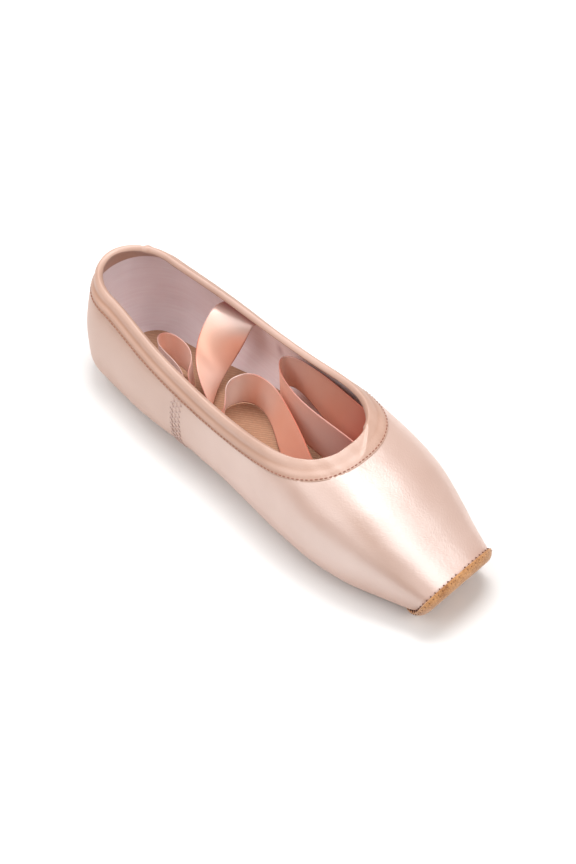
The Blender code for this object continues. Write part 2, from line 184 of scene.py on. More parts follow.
RIBBON_LEFT = (
    Fold(0.277, 0.744, 0.82, 88, 182),
    Fold(0.278, 0.620, 0.84, 82, 194),
    Fold(0.281, 0.470, 0.77, 76, 207),
    Fold(0.283, 0.330, 0.65, 68, 225),
    Fold(0.289, 0.190, 0.53, 58, 246),
    Fold(0.306, 0.030, 0.45, 50, 272),
    Fold(0.337, -0.163, 0.43, 46, 300),
    Fold(0.365, -0.340, 0.42, 32, 318),
    Fold(0.393, -0.470, 0.42, 16, 335),
    Fold(0.412, -0.430, 0.42, 8, 350),
    Fold(0.399, -0.290, 0.42, 8, 360),
    Fold(0.376, -0.160, 0.41, 8, 370),
    Fold(0.363, -0.020, 0.41, 8, 382),
    Fold(0.366, 0.120, 0.41, 8, 392),
    Fold(0.376, 0.221, 0.41, 8, 395),
    Fold(0.392, 0.284, 0.41, 9, 393),
    Fold(0.412, 0.305, 0.405, 12, 391),
    Fold(0.435, 0.290, 0.405, 14, 391),
    Fold(0.463, 0.233, 0.40, 17, 391),
    Fold(0.491, 0.157, 0.395, 21, 391),
    Fold(0.519, 0.072, 0.39, 26, 390),
    Fold(0.546, -0.012, 0.385, 29, 390),
    Fold(0.573, -0.100, 0.38, 31, 390),
    Fold(0.603, -0.190, 0.38, 30, 392),
    Fold(0.660, -0.280, 0.385, 20, 394),
    Fold(0.720, -0.250, 0.395, 10, 396),
    Fold(0.775, -0.150, 0.410, 4, 396),
)


@dataclass(frozen=True)
class LastSizes:
    """Driving sizes of the last, the same as the part's own."""

    length: float = 0.233
    ball_width: float = 0.072
    instep_height: float = 0.051
    heel_height: float = 0.0548
    side_height: float = 0.0475
    arch_lift: float = 0.002
    toe_spring: float = 0.0025
    platform_lean: float = math.radians(23)
    platform_edge: float = 0.003
    heel_lean: float = 0.32
    lower_fullness: float = 2.05
    sole_thick: float = 0.0022
    gap: float = 0.0003
    wall: float = 0.002
    insole_thick: float = 0.0015
    lasting_margin: float = 0.005
    sole_of_tread: float = 0.86


@dataclass(frozen=True)
class Along:
    """Places along the shoe, as shares of its length from the back of the heel."""

    heel_fan: float = 0.12
    heel_flat_end: float = 0.14
    ball_flat_start: float = 0.60
    ball_flat_end: float = 0.73
    rim_gather: float = 0.56
    throat: float = 0.705
    lean_start: float = 0.76
    sole_taper: float = 0.83
    sole_front: float = 0.905
    opening_taper: float = 0.80
    opening_front: float = 0.88
    insole_taper: float = 0.84
    insole_front: float = 0.93


class Spline:
    """Natural cubic spline through values at rising places."""

    def __init__(self, places: Sequence[float], values: Sequence[float]) -> None:
        """Solves the spline's bends.

        Args:
            places: rising places.
            values: the value at each place.
        """
        self.places = np.array(places, float)
        self.values = np.array(values, float)
        self.width = np.diff(self.places)
        count = len(self.places)
        matrix, right = np.eye(count), np.zeros(count)
        slope = np.diff(self.values) / self.width
        for i in range(1, count - 1):
            matrix[i, i - 1 : i + 2] = (
                self.width[i - 1],
                2 * (self.width[i - 1] + self.width[i]),
                self.width[i],
            )
            right[i] = 6 * (slope[i] - slope[i - 1])
        self.bend = np.linalg.solve(matrix, right)

    def __call__(self, place: np.ndarray) -> np.ndarray:
        """Values at places, held at the ends."""
        i = np.clip(np.searchsorted(self.places, place) - 1, 0, len(self.width) - 1)
        span = self.width[i]
        step = np.clip(place, self.places[0], self.places[-1]) - self.places[i]
        low, high = self.bend[i], self.bend[i + 1]
        slope = (self.values[i + 1] - self.values[i]) / span - span * (2 * low + high) / 6
        return self.values[i] + step * (slope + step * (low / 2 + step * (high - low) / (6 * span)))


def columns_of(rows: Sequence[NamedTuple]) -> dict[str, Spline]:
    """Splines of each column of a table over its column along."""
    names = rows[0]._fields[1:]
    places = [row[0] for row in rows]
    return {name: Spline(places, [getattr(row, name) for row in rows]) for name in names}


def superellipse(angle: np.ndarray, power: np.ndarray | float) -> tuple[np.ndarray, np.ndarray]:
    """Points of a superellipse of radius 1.

    Args:
        angle: angle of each point.
        power: 2 for a circle, more for a fuller form.

    Returns:
        The points' two coordinates.
    """
    c, s = np.cos(angle), np.sin(angle)
    reach = (np.abs(c) ** power + np.abs(s) ** power) ** (-1 / power)
    return c * reach, s * reach


def ramp(value: np.ndarray, start: float, end: float) -> np.ndarray:
    """0 up to start, then rises evenly to 1 at end. End may be the lower one."""
    return np.clip((value - start) / (end - start), 0.0, 1.0)


def closing(along: np.ndarray, start: float, end: float) -> np.ndarray:
    """1 up to start, then falls to 0 at end as a quarter of an ellipse does."""
    share = np.clip((along - start) / (end - start), 0.0, 1.0)
    return np.sqrt(1 - share * share)


def unit(vectors: np.ndarray) -> np.ndarray:
    """The vectors at length 1."""
    return vectors / np.linalg.norm(vectors, axis=-1, keepdims=True)


class Last:
    """The shoe's outer surface as a function of u and t, for its left half.

    u runs from the back of the heel to the middle of the platform in metres: below 0 it turns round the
    heel, past edge_u it rounds the platform's edge, and past face_u it crosses the platform. t runs round
    a section: 0 is the middle of the underside, 1 the edge of the tread, 2 the widest place, 3 the crest.
    """

    def __init__(self, sizes: LastSizes, along: Along) -> None:
        """Works out the last's own places.

        Args:
            sizes: the driving sizes.
            along: the places along the shoe.
        """
        self.size = sizes
        self.place = along
        self.columns = columns_of(SECTIONS)
        self.rim = columns_of(RIM)
        self.instep = sizes.instep_height / float(self.columns["crest"](np.array(along.throat)))
        self.fan_x = self.x_of(along.heel_fan)
        self.heel_reach = along.heel_fan * sizes.length
        self.back_u = -self.heel_reach * math.pi / 2
        self.throat_u = self.u_of(along.throat)
        self.edge_u = self.u_of(1.0) - sizes.platform_edge
        self.face_u = self.edge_u + sizes.platform_edge * math.pi / 2
        self.end = {name: float(value) for name, value in self.read(np.array(self.u_of(1.0))).items()}
        self.pole_u = self.face_u + self.end["half"] - sizes.platform_edge

    def x_of(self, along: float) -> float:
        """X of a share of the length."""
        return (along - 0.5) * self.size.length

    def u_of(self, along: float) -> float:
        """u of a share of the length, ahead of the heel's fan."""
        return (along - self.place.heel_fan) * self.size.length

    def along_of(self, u: np.ndarray) -> np.ndarray:
        """Share of the length at u."""
        turned = np.sin(np.clip(-u / self.heel_reach, 0, math.pi / 2))
        fan = self.place.heel_fan
        return np.where(u < 0, fan * (1 - turned), np.minimum(fan + u / self.size.length, 1.0))

    def lift(self, along: np.ndarray) -> np.ndarray:
        """Height of the underside over the floor."""
        place, size = self.place, self.size
        arch = np.clip((along - place.heel_flat_end) / (place.ball_flat_start - place.heel_flat_end), 0, 1)
        spring = np.clip((along - place.ball_flat_end) / (1 - place.ball_flat_end), 0, 1)
        raised = size.arch_lift * np.sin(math.pi * arch) ** 2 + size.toe_spring * spring**2
        return size.sole_thick + size.gap + raised

    def rim_height(self, u: np.ndarray) -> np.ndarray:
        """Height of the opening's edge."""
        along = self.along_of(u)
        size = self.size
        rise = self.rim["heel"](along) * (size.heel_height - size.side_height)
        return size.side_height + rise + self.rim["throat"](along) * (size.instep_height - size.side_height)

    def read(self, u: np.ndarray) -> dict[str, np.ndarray]:
        """Real sizes of the sections at u."""
        along = np.maximum(self.along_of(u), self.place.heel_fan)
        half_ball = self.size.ball_width / 2
        lift = self.lift(along)
        middle = lift + self.columns["widest"](along) * self.instep
        level = self.rim_height(np.zeros_like(u)) - middle
        return {
            "half": self.columns["half"](along) * half_ball,
            "tread": self.columns["tread"](along) * half_ball,
            "seat": self.columns["seat"](along) * half_ball,
            "lift": lift,
            "middle": middle,
            "rise": np.where(u < 0, (self.rim_height(u) - middle) / level, 1.0),
            "crest": self.columns["crest"](along) * self.instep,
            "full": self.columns["full"](along),
        }

    def point(self, u: np.ndarray, t: np.ndarray) -> np.ndarray:
        """Points of the surface.

        Args:
            u: place along the shoe, in metres.
            t: place round the section, from 0 to 3.

        Returns:
            A point for each u and t, on the left half.
        """
        u, t = np.broadcast_arrays(np.asarray(u, float), np.asarray(t, float))
        size = self.read(u)
        angle = (t - 2) * math.pi / 2
        across, down = superellipse(angle, self.size.lower_fullness)
        out, up = superellipse(angle, size["full"])
        flat, lower = t <= 1, t <= 2
        y = np.where(lower, size["tread"] + (size["half"] - size["tread"]) * across, size["half"] * out)
        y = np.where(flat, size["tread"] * t, y)
        fall = size["middle"] + (size["middle"] - size["lift"]) * down
        z = np.where(lower, fall, size["middle"] + (size["crest"] - size["middle"]) * up * size["rise"])
        z = np.where(flat, size["lift"], z)
        turn = np.clip(-u / self.heel_reach, 0, None)
        share = y / size["half"]
        share = np.where(t > 2, 1 - self.size.heel_lean * (1 - share), share)
        heel = np.stack((self.fan_x - self.heel_reach * share * np.sin(turn), y * np.cos(turn), z), -1)
        edge = self.size.platform_edge
        round_off = np.clip((u - self.edge_u) / edge, 0, math.pi / 2)
        inset = edge * (1 - np.cos(round_off))
        shrink = 1 - np.clip(u - self.face_u, 0, None) / (self.pole_u - self.face_u)
        x = self.fan_x + np.minimum(u, self.edge_u) + edge * np.sin(round_off)
        tall = np.where(z > size["middle"], size["crest"] - size["middle"], size["middle"] - size["lift"])
        y = y * (1 - inset / size["half"]) * shrink
        z = size["middle"] + (z - size["middle"]) * (1 - inset / tall) * shrink
        start = self.x_of(self.place.lean_start)
        lean = np.clip((x - start) / (self.x_of(1.0) - start), 0, None) ** 2
        x = x - lean * math.tan(self.size.platform_lean) * (self.end["crest"] - z)
        return np.where((u < 0)[..., None], heel, np.stack((x, y, z), -1))

    def slopes(self, u: np.ndarray, t: np.ndarray) -> tuple[np.ndarray, np.ndarray]:
        """How the point moves with u and with t."""
        along = self.point(u + DIRECTION_STEP, t) - self.point(u - DIRECTION_STEP, t)
        around = self.point(u, t + TURN_STEP) - self.point(u, t - TURN_STEP)
        return along / (2 * DIRECTION_STEP), around / (2 * TURN_STEP)

    def normal(self, u: np.ndarray, t: np.ndarray) -> np.ndarray:
        """Unit normals, out of the shoe."""
        u, t = np.broadcast_arrays(np.asarray(u, float), np.asarray(t, float))
        inner_u = np.clip(u, self.back_u + 2 * DIRECTION_STEP, self.face_u - 2 * DIRECTION_STEP)
        along, around = self.slopes(inner_u, np.clip(t, 2 * TURN_STEP, 3 - 2 * TURN_STEP))
        out = unit(np.cross(around, along))
        lean = self.size.platform_lean
        face = np.array((math.cos(lean), 0.0, -math.sin(lean)))
        out = np.where((u >= self.face_u)[..., None], face, out)
        under = ((t < 1) & (u < self.edge_u))[..., None]
        return np.where(under, np.array((0.0, 0.0, -1.0)), out)

    def rim_t(self, u: np.ndarray) -> np.ndarray:
        """t of the opening's edge."""
        held = np.clip(u, 0, None)
        size = self.read(held)
        up = np.clip((self.rim_height(held) - size["middle"]) / (size["crest"] - size["middle"]), 0, 1)
        across = (1 - up ** size["full"]) ** (1 / size["full"])
        return np.where(u >= self.throat_u, 3.0, 2 + np.arctan2(up, across) * 2 / math.pi)

    def opening_t(self, u: np.ndarray) -> np.ndarray:
        """t of the edge of the opening under the shoe."""
        tread = self.read(u)["tread"]
        along = np.maximum(self.along_of(u), self.place.heel_fan)
        half = tread * self.size.sole_of_tread - self.size.lasting_margin
        return half * closing(along, self.place.opening_taper, self.place.opening_front) / tread

    def t_at_width(self, u: np.ndarray, y: np.ndarray) -> np.ndarray:
        """t of the underside's points at a distance y from the middle."""
        size = self.read(u)
        power = self.size.lower_fullness
        across = np.clip((y - size["tread"]) / (size["half"] - size["tread"]), 0.0, 1.0)
        down = (1 - across**power) ** (1 / power)
        side = 2 - np.arctan2(down, across) * 2 / math.pi
        return np.where(y <= size["tread"], y / size["tread"], side)

    def away(self, u: np.ndarray) -> np.ndarray:
        """Unit directions over the surface, straight away from the opening's edge."""
        before = np.clip(u - EDGE_STEP, self.back_u, None)
        after = np.clip(u + EDGE_STEP, None, self.throat_u - 1e-9)
        edge = self.point(after, self.rim_t(after)) - self.point(before, self.rim_t(before))
        for middle, heading in ((self.back_u, 1.0), (self.throat_u, -1.0)):
            at_middle = (np.abs(u - middle) < DIRECTION_STEP)[..., None]
            edge = np.where(at_middle, np.array((0, heading, 0)), edge)
        return np.cross(self.normal(u, self.rim_t(u)), unit(edge))

    def walk(self, u: np.ndarray, distance: np.ndarray) -> tuple[np.ndarray, np.ndarray]:
        """Places reached from the opening's edge, at distances over the surface.

        Args:
            u: stations of the edge, one row each.
            distance: distances, one column each.

        Returns:
            u and t of each row and column.
        """
        away = self.away(u)[:, None, :]
        t = np.repeat(self.rim_t(u)[:, None], len(distance), axis=1)
        u = np.repeat(u[:, None], len(distance), axis=1)
        steps = max(math.ceil(float(np.max(np.abs(distance))) / WALK_STEP), 1)
        for _ in range(steps):
            along, around = self.slopes(u, t)
            a, b, c = ((p * q).sum(-1) for p, q in ((along, along), (along, around), (around, around)))
            move = away * (distance / steps)[None, :, None]
            d, e = (along * move).sum(-1), (around * move).sum(-1)
            det = a * c - b * b
            u, t = u + (c * d - b * e) / det, t + (a * e - b * d) / det
        return u, t

    def fan(self, count: int) -> np.ndarray:
        """Stations round the heel, without the last one."""
        return self.back_u * (1 - np.arange(count) / count)

    def run(self, start: float, end: float, count: int) -> np.ndarray:
        """Even stations between two shares of the length, without the last one."""
        first, final = self.u_of(start), self.u_of(end)
        return first + (final - first) * np.arange(count) / count

    def gather(self, start: float, end: float, count: int) -> np.ndarray:
        """Stations that crowd towards the end, without the last one."""
        first, final = self.u_of(start), self.u_of(end)
        return first + (final - first) * np.sin(math.pi / 2 * np.arange(count) / count)


def linear(hexcode: str) -> tuple[float, float, float, float]:
    """Linear colour of an sRGB hex value such as #E6CCC0."""
    channels = [int(hexcode[i : i + 2], 16) / 255 for i in (1, 3, 5)]
    turned = [c / 12.92 if c <= 0.04045 else ((c + 0.055) / 1.055) ** 2.4 for c in channels]
    return turned[0], turned[1], turned[2], 1.0


def add_node(
    tree: bpy.types.NodeTree, kind: str, inputs: dict[str | int, Any] | None = None, **settings: Any
) -> bpy.types.Node:
    """Adds a node with its settings, and sets or links its inputs.

    Args:
        tree: the node tree.
        kind: the node's type.
        inputs: values or sockets by the input's name or number.
        settings: the node's own settings.

    Returns:
        The new node.
    """
    node = tree.nodes.new(kind)
    for name, value in settings.items():
        setattr(node, name, value)
    for name, value in (inputs or {}).items():
        if isinstance(value, bpy.types.NodeSocket):
            tree.links.new(value, node.inputs[name])
        else:
            node.inputs[name].default_value = value
    return node


def new_material(name: str) -> tuple[bpy.types.Material, bpy.types.NodeTree, bpy.types.Node]:
    """A material with its tree and its Principled shader."""
    material = bpy.data.materials.new(name)
    material.use_nodes = True
    return material, material.node_tree, material.node_tree.nodes["Principled BSDF"]


def deselect() -> None:
    """Leaves nothing selected and object mode on."""
    if bpy.context.object and bpy.context.object.mode != "OBJECT":
        bpy.ops.object.mode_set(mode="OBJECT")
    bpy.ops.object.select_all(action="DESELECT")


def apply_modifier(piece: bpy.types.Object, kind: str, **settings: Any) -> None:
    """Adds a modifier with its settings and applies it."""
    deselect()
    bpy.context.view_layer.objects.active = piece
    piece.select_set(True)
    modifier = piece.modifiers.new(kind.lower(), kind)
    for name, value in settings.items():
        setattr(modifier, name, value)
    bpy.ops.object.modifier_apply(modifier=modifier.name)


def round_edges(piece: bpy.types.Object, width: float, segments: int) -> None:
    """Rounds a piece's sharp edges over a width."""
    settings = {"limit_method": "ANGLE", "angle_limit": math.radians(50)}
    apply_modifier(piece, "BEVEL", width=width, segments=segments, **settings)


def woven_sheet(
    name: str,
    points: np.ndarray,
    flat: np.ndarray,
    thickness: float,
    offset: float,
    flip: bool = True,
    drop: np.ndarray | None = None,
    shade: np.ndarray | None = None,
    gleam: np.ndarray | None = None,
) -> bpy.types.Object:
    """A sheet made from a grid whose vertices go to the given points, with a wall.

    Args:
        name: name of the piece.
        points: a place for each row and column of the grid.
        flat: the sheet's own flat coordinates for each row and column, in metres, for its weave.
        thickness: thickness of the wall.
        offset: -1 grows the wall inwards, 1 outwards, 0 both ways.
        flip: turns the grid's faces over.
        drop: True for each row and column of faces that is cut away.
        shade: share of the cloth's deep colour at each row and column, which is painted shade on the satin,
            casing and ribbons, and the dark seam line on the lining.
        gleam: share of the cloth's pale colour at each row and column, a painted highlight where its bends
            face the light.

    Returns:
        The finished piece.
    """
    rows, columns = points.shape[0] - 1, points.shape[1] - 1
    deselect()
    bpy.ops.mesh.primitive_grid_add(x_subdivisions=rows, y_subdivisions=columns, size=1.0, calc_uvs=True)
    piece = bpy.context.object
    piece.name = piece.data.name = name
    mesh = piece.data
    places = np.empty(len(mesh.vertices) * 3)
    mesh.vertices.foreach_get("co", places)
    places = places.reshape(-1, 3)
    row = np.rint((places[:, 0] + 0.5) * rows).astype(int)
    col = np.rint((places[:, 1] + 0.5) * columns).astype(int)
    mesh.vertices.foreach_set("co", points[row, col].ravel())
    # Painted shade goes in as the shade attribute, painted highlights as the gleam attribute
    for title, values in (("shade", shade), ("gleam", gleam)):
        tone = mesh.attributes.new(title, "FLOAT", "POINT")
        if values is not None:
            tone.data.foreach_set("value", values[row, col].astype(np.float32))
    corner = np.empty(len(mesh.loops), int)
    mesh.loops.foreach_get("vertex_index", corner)
    mesh.uv_layers[0].name = "weave"
    mesh.uv_layers[0].data.foreach_set("uv", flat[row[corner], col[corner]].ravel())
    bpy.ops.object.mode_set(mode="EDIT")
    if drop is not None:
        bpy.ops.mesh.select_all(action="DESELECT")
        bpy.ops.object.mode_set(mode="OBJECT")
        starts = np.empty(len(mesh.polygons), int)
        mesh.polygons.foreach_get("loop_start", starts)
        lowest_row = np.min([row[corner[starts + i]] for i in range(4)], axis=0)
        lowest_col = np.min([col[corner[starts + i]] for i in range(4)], axis=0)
        mesh.polygons.foreach_set("select", drop[lowest_row, lowest_col])
        bpy.ops.object.mode_set(mode="EDIT")
        bpy.ops.mesh.delete(type="FACE")
    bpy.ops.mesh.select_all(action="SELECT")
    bpy.ops.mesh.remove_doubles(threshold=MERGE_DISTANCE)
    bpy.ops.mesh.dissolve_degenerate(threshold=MERGE_DISTANCE)
    if flip:
        bpy.ops.mesh.flip_normals()
    bpy.ops.object.mode_set(mode="OBJECT")
    apply_modifier(piece, "SOLIDIFY", thickness=thickness, offset=offset, use_even_offset=False)
    bpy.ops.object.shade_smooth()
    return piece


def dress(
    piece: bpy.types.Object, material: bpy.types.Material, slot: Slot, *nodes: str
) -> bpy.types.Object:
    """Gives a piece its material and body, and hides the CAD nodes that it stands for.

    Args:
        piece: the piece.
        material: its material.
        slot: its slot of the record, which is not used.
        nodes: the CAD nodes that it stands for.

    Returns:
        The piece.
    """
    piece.data.materials.clear()
    piece.data.materials.append(material)
    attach(piece, ROOT)
    if nodes:
        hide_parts(*nodes)
    faces = len(piece.data.polygons)
    log.info("%s: %d faces, %s", piece.name, faces, material.name)
    return piece


def stitch_row(
    name: str,
    centres: np.ndarray,
    headings: np.ndarray,
    normals: np.ndarray,
    size: tuple[float, float, float],
) -> bpy.types.Object:
    """Many stitches as one mesh, each a small rounded bead of thread that is half sunk in the cloth.

    Args:
        name: name of the piece.
        centres: middle of each stitch.
        headings: unit direction of each stitch.
        normals: unit normal of the cloth at each stitch.
        size: length, width and height of a stitch.

    Returns:
        The piece.
    """
    deselect()
    bpy.ops.mesh.primitive_uv_sphere_add(segments=8, ring_count=5, radius=0.5)
    bead = bpy.context.object
    template = np.array([v.co for v in bead.data.vertices]) @ np.diag((size[1], size[2], size[0]))
    faces = [tuple(p.vertices) for p in bead.data.polygons]
    bpy.data.objects.remove(bead)
    aside = unit(np.cross(normals, headings))
    up = np.cross(headings, aside)
    frames = np.stack((aside, up, headings), 1)
    vertices = (template[None] @ frames + centres[:, None]).reshape(-1, 3)
    count = len(template)
    loops = [tuple(i + k * count for i in face) for k in range(len(centres)) for face in faces]
    mesh = bpy.data.meshes.new(name)
    mesh.from_pydata(vertices.tolist(), [], loops)
    piece = bpy.data.objects.new(name, mesh)
    bpy.context.scene.collection.objects.link(piece)
    mesh.shade_smooth()
    return piece


def arc_lengths(points: np.ndarray) -> np.ndarray:
    """Distance along a line of points, from its first."""
    steps = np.linalg.norm(np.diff(points, axis=0), axis=1)
    return np.concatenate(([0.0], np.cumsum(steps)))


def read_line(places: np.ndarray, lengths: np.ndarray, line: np.ndarray) -> np.ndarray:
    """Points at places along a line, given the place of each of its own points."""
    return np.stack([np.interp(places, lengths, line[:, i]) for i in range(3)], -1)


def both_halves(left: np.ndarray, axis: int) -> np.ndarray:
    """The right half's points before the left half's.

    Args:
        left: points of the left half, which starts at the middle.
        axis: the axis to join them along.

    Returns:
        The points of both halves.
    """
    return np.concatenate((np.flip(left * MIRROR, axis), left), axis)


def both_sides(*parts: np.ndarray) -> list[np.ndarray]:
    """Each list of places or directions with its mirror image behind it."""
    return [np.concatenate((part, part * MIRROR)) for part in parts]


def bell(distance: np.ndarray, width: float) -> np.ndarray:
    """A soft bump of height 1 whose half width is about width."""
    return np.exp(-((distance / width) ** 2))


# Scales of the patterns, in turns per metre: patches of dye 35 mm across, slubs 1 mm by 22 mm, the ripple of
# lasted cloth 6 mm, stains of leather 9 mm, tufts of canvas 1.4 mm, and the twist of a thread 0.7 mm
DYE_SCALE = 28.0
SLUB_SCALE = (900.0, 45.0, 1.0)
RIPPLE_SCALE = 170.0
STAIN_SCALE = 110.0
TUFT_SCALE = 700.0
TWIST_SCALE = 1500.0
# The wave texture repeats at this length over its scale
WAVE_REPEAT = 0.3142
# Height of a satin thread, and how much of it shows
THREAD_HEIGHT = 0.12 * MM
THREAD_STRENGTH = 0.6


def mixed_colour(
    tree: bpy.types.NodeTree, share: bpy.types.NodeSocket, first: Any, second: Any
) -> bpy.types.NodeSocket:
    """Mixes two colours.

    Args:
        tree: the node tree.
        share: share of the second colour.
        first: a colour, or the socket of one.
        second: a colour.

    Returns:
        The socket of the mixed colour.
    """
    mix = add_node(tree, "ShaderNodeMix", {"Factor": share, 6: first, 7: second}, data_type="RGBA")
    return mix.outputs[2]


def add_bump(
    tree: bpy.types.NodeTree,
    height: bpy.types.NodeSocket,
    distance: float,
    strength: float = 1.0,
    over: bpy.types.NodeSocket | None = None,
) -> bpy.types.NodeSocket:
    """Adds a bump.

    Args:
        tree: the node tree.
        height: the pattern.
        distance: real height of the pattern, in metres.
        strength: how much of it shows.
        over: the bump under this one.

    Returns:
        The socket of the normal.
    """
    inputs = {"Height": height, "Strength": strength, "Distance": distance}
    if over is not None:
        inputs["Normal"] = over
    return add_node(tree, "ShaderNodeBump", inputs).outputs[0]


def add_noise(
    tree: bpy.types.NodeTree, vector: bpy.types.NodeSocket, scale: float, detail: float
) -> bpy.types.NodeSocket:
    """Adds a noise of a scale, in turns per metre, and gives its value's socket."""
    return add_node(
        tree, "ShaderNodeTexNoise", {"Vector": vector, "Scale": scale, "Detail": detail}
    ).outputs["Fac"]


@dataclass(frozen=True)
class WovenFinish:
    """A smooth woven cloth: a floated warp that glows, with slubs and a fine ripple.

    Satin shows long floats, so its light spreads across the warp and its threads are barely seen.

    Attributes:
        name: name of the material.
        light: colour of most of the cloth.
        dark: colour of its darker patches.
        deep: colour where the sheet's shade is 1: painted shade, as in folds, and on the lining its seam
            line.
        roughness: roughness of the threads.
        ior: index of refraction, which sets the strength of the gloss.
        spread: how far the light spreads across the warp.
        turn: turn of the warp from the sheet's first flat coordinate.
        thread: distance between threads, in metres.
        ripple: height of the ripple, in metres.
        slub: height of the slubs, in metres.
        streaks: share of the slubs in the pattern of colour.
        gloss: share of the gloss that shows.
        pale: colour where the sheet's gleam is 1, a painted highlight on bends that face the light.
        tinted: True where the gloss has the cloth's own colour.
    """

    name: str
    light: str
    dark: str
    deep: str
    roughness: float
    ior: float
    spread: float
    turn: float
    thread: float
    ripple: float
    slub: float = 0.0
    streaks: float = 0.0
    gloss: float = 0.9
    pale: str = "#FBEDE6"
    tinted: bool = False

    def material(self) -> bpy.types.Material:
        """Builds the material from Object coordinates and the weave UV map."""
        material, tree, shader = new_material(self.name)
        weave = add_node(tree, "ShaderNodeUVMap", uv_map="weave").outputs["UV"]
        place = add_node(tree, "ShaderNodeTexCoord").outputs["Object"]
        stretched = add_node(tree, "ShaderNodeMapping", {"Vector": weave, "Scale": SLUB_SCALE}).outputs[0]
        slubs = add_noise(tree, stretched, 1.0, 2.0)
        patches = add_noise(tree, place, DYE_SCALE, 3.0)
        mixed = add_node(tree, "ShaderNodeMix", {"Factor": self.streaks, "A": patches, "B": slubs})
        share = add_node(
            tree, "ShaderNodeMapRange", {"Value": mixed.outputs[0], "From Min": 0.35, "From Max": 0.68}
        )
        colour = mixed_colour(tree, share.outputs[0], linear(self.light), linear(self.dark))
        # Painted shade from the shade attribute, then painted highlights from the gleam attribute
        for attribute, tone in (("shade", self.deep), ("gleam", self.pale)):
            amount = add_node(tree, "ShaderNodeAttribute", attribute_name=attribute).outputs["Fac"]
            colour = mixed_colour(tree, amount, colour, linear(tone))
        tree.links.new(colour, shader.inputs["Base Color"])
        if self.tinted:
            tree.links.new(colour, shader.inputs["Specular Tint"])
        threads = add_noise(tree, weave, 1 / self.thread, 2.0)
        ripples = add_noise(tree, place, RIPPLE_SCALE, 3.0)
        bump = add_bump(tree, threads, THREAD_HEIGHT, THREAD_STRENGTH)
        bump = add_bump(tree, slubs, self.slub, over=bump)
        bump = add_bump(tree, ripples, self.ripple, over=bump)
        tree.links.new(bump, shader.inputs["Normal"])
        tangent = add_node(tree, "ShaderNodeTangent", direction_type="UV_MAP", uv_map="weave")
        tree.links.new(tangent.outputs[0], shader.inputs["Tangent"])
        for socket, value in (
            ("Roughness", self.roughness),
            ("Anisotropic", self.spread),
            ("Anisotropic Rotation", self.turn),
            ("IOR", self.ior),
            ("Specular IOR Level", self.gloss),
            ("Sheen Weight", 0.15),
            ("Sheen Roughness", 0.4),
        ):
            shader.inputs[socket].default_value = value
        return material


@dataclass(frozen=True)
class TwillFinish:
    """Canvas in a fine twill: dull, with slanting lines of a darker weft between the warp threads.

    Attributes:
        name: name of the material.
        light: colour of the raised threads.
        dark: colour between them.
        pitch: distance between the lines, in metres.
        slant: angle of the lines.
        relief: height of the lines, in metres.
    """

    name: str
    light: str
    dark: str
    pitch: float
    slant: float
    relief: float

    def material(self) -> bpy.types.Material:
        """Builds the material from Object coordinates."""
        material, tree, shader = new_material(self.name)
        place = add_node(tree, "ShaderNodeTexCoord").outputs["Object"]
        turned = add_node(tree, "ShaderNodeMapping", {"Vector": place, "Rotation": (0.0, 0.0, self.slant)})
        lines = add_node(
            tree,
            "ShaderNodeTexWave",
            {
                "Vector": turned.outputs[0],
                "Scale": WAVE_REPEAT / self.pitch,
                "Distortion": 0.6,
                "Detail": 1.0,
            },
            wave_type="BANDS",
            bands_direction="X",
        )
        tufts = add_noise(tree, place, TUFT_SCALE, 2.0)
        mixed = add_node(tree, "ShaderNodeMath", {0: lines.outputs["Fac"], 1: tufts}, operation="MULTIPLY")
        pattern = mixed.outputs[0]
        colour = mixed_colour(tree, pattern, linear(self.dark), linear(self.light))
        tree.links.new(colour, shader.inputs["Base Color"])
        tree.links.new(add_bump(tree, pattern, self.relief), shader.inputs["Normal"])
        shader.inputs["Roughness"].default_value = 0.85
        shader.inputs["Sheen Weight"].default_value = 0.2
        return material


@dataclass(frozen=True)
class NapFinish:
    """Buffed leather: suede with a short nap, or a smooth split with scuffs. Dull and mottled.

    Attributes:
        name: name of the material.
        light: colour of the raised nap.
        dark: colour between the fibres.
        grain: size of the grain, in metres.
        relief: height of the nap, in metres.
        roughness: roughness of the leather.
        sheen: how much the fibres catch the light at their tips.
    """

    name: str
    light: str
    dark: str
    grain: float
    relief: float
    roughness: float
    sheen: float

    def material(self) -> bpy.types.Material:
        """Builds the material from Object coordinates."""
        material, tree, shader = new_material(self.name)
        place = add_node(tree, "ShaderNodeTexCoord").outputs["Object"]
        nap = add_noise(tree, place, 1 / self.grain, 5.0)
        stains = add_noise(tree, place, STAIN_SCALE, 3.0)
        mixed = add_node(tree, "ShaderNodeMath", {0: nap, 1: stains}, operation="ADD")
        share = add_node(
            tree, "ShaderNodeMapRange", {"Value": mixed.outputs[0], "From Min": 0.7, "From Max": 1.3}
        )
        colour = mixed_colour(tree, share.outputs[0], linear(self.dark), linear(self.light))
        tree.links.new(colour, shader.inputs["Base Color"])
        tree.links.new(add_bump(tree, nap, self.relief), shader.inputs["Normal"])
        shader.inputs["Roughness"].default_value = self.roughness
        shader.inputs["Sheen Weight"].default_value = self.sheen
        return material


@dataclass(frozen=True)
class ThreadFinish:
    """Spun thread: soft gloss, one colour with a darker twist.

    Attributes:
        name: name of the material.
        light: colour of the thread.
        dark: colour in its twist.
    """

    name: str
    light: str
    dark: str

    def material(self) -> bpy.types.Material:
        """Builds the material from Object coordinates."""
        material, tree, shader = new_material(self.name)
        place = add_node(tree, "ShaderNodeTexCoord").outputs["Object"]
        twist = add_noise(tree, place, TWIST_SCALE, 2.0)
        colour = mixed_colour(tree, twist, linear(self.dark), linear(self.light))
        tree.links.new(colour, shader.inputs["Base Color"])
        shader.inputs["Roughness"].default_value = 0.55
        return material


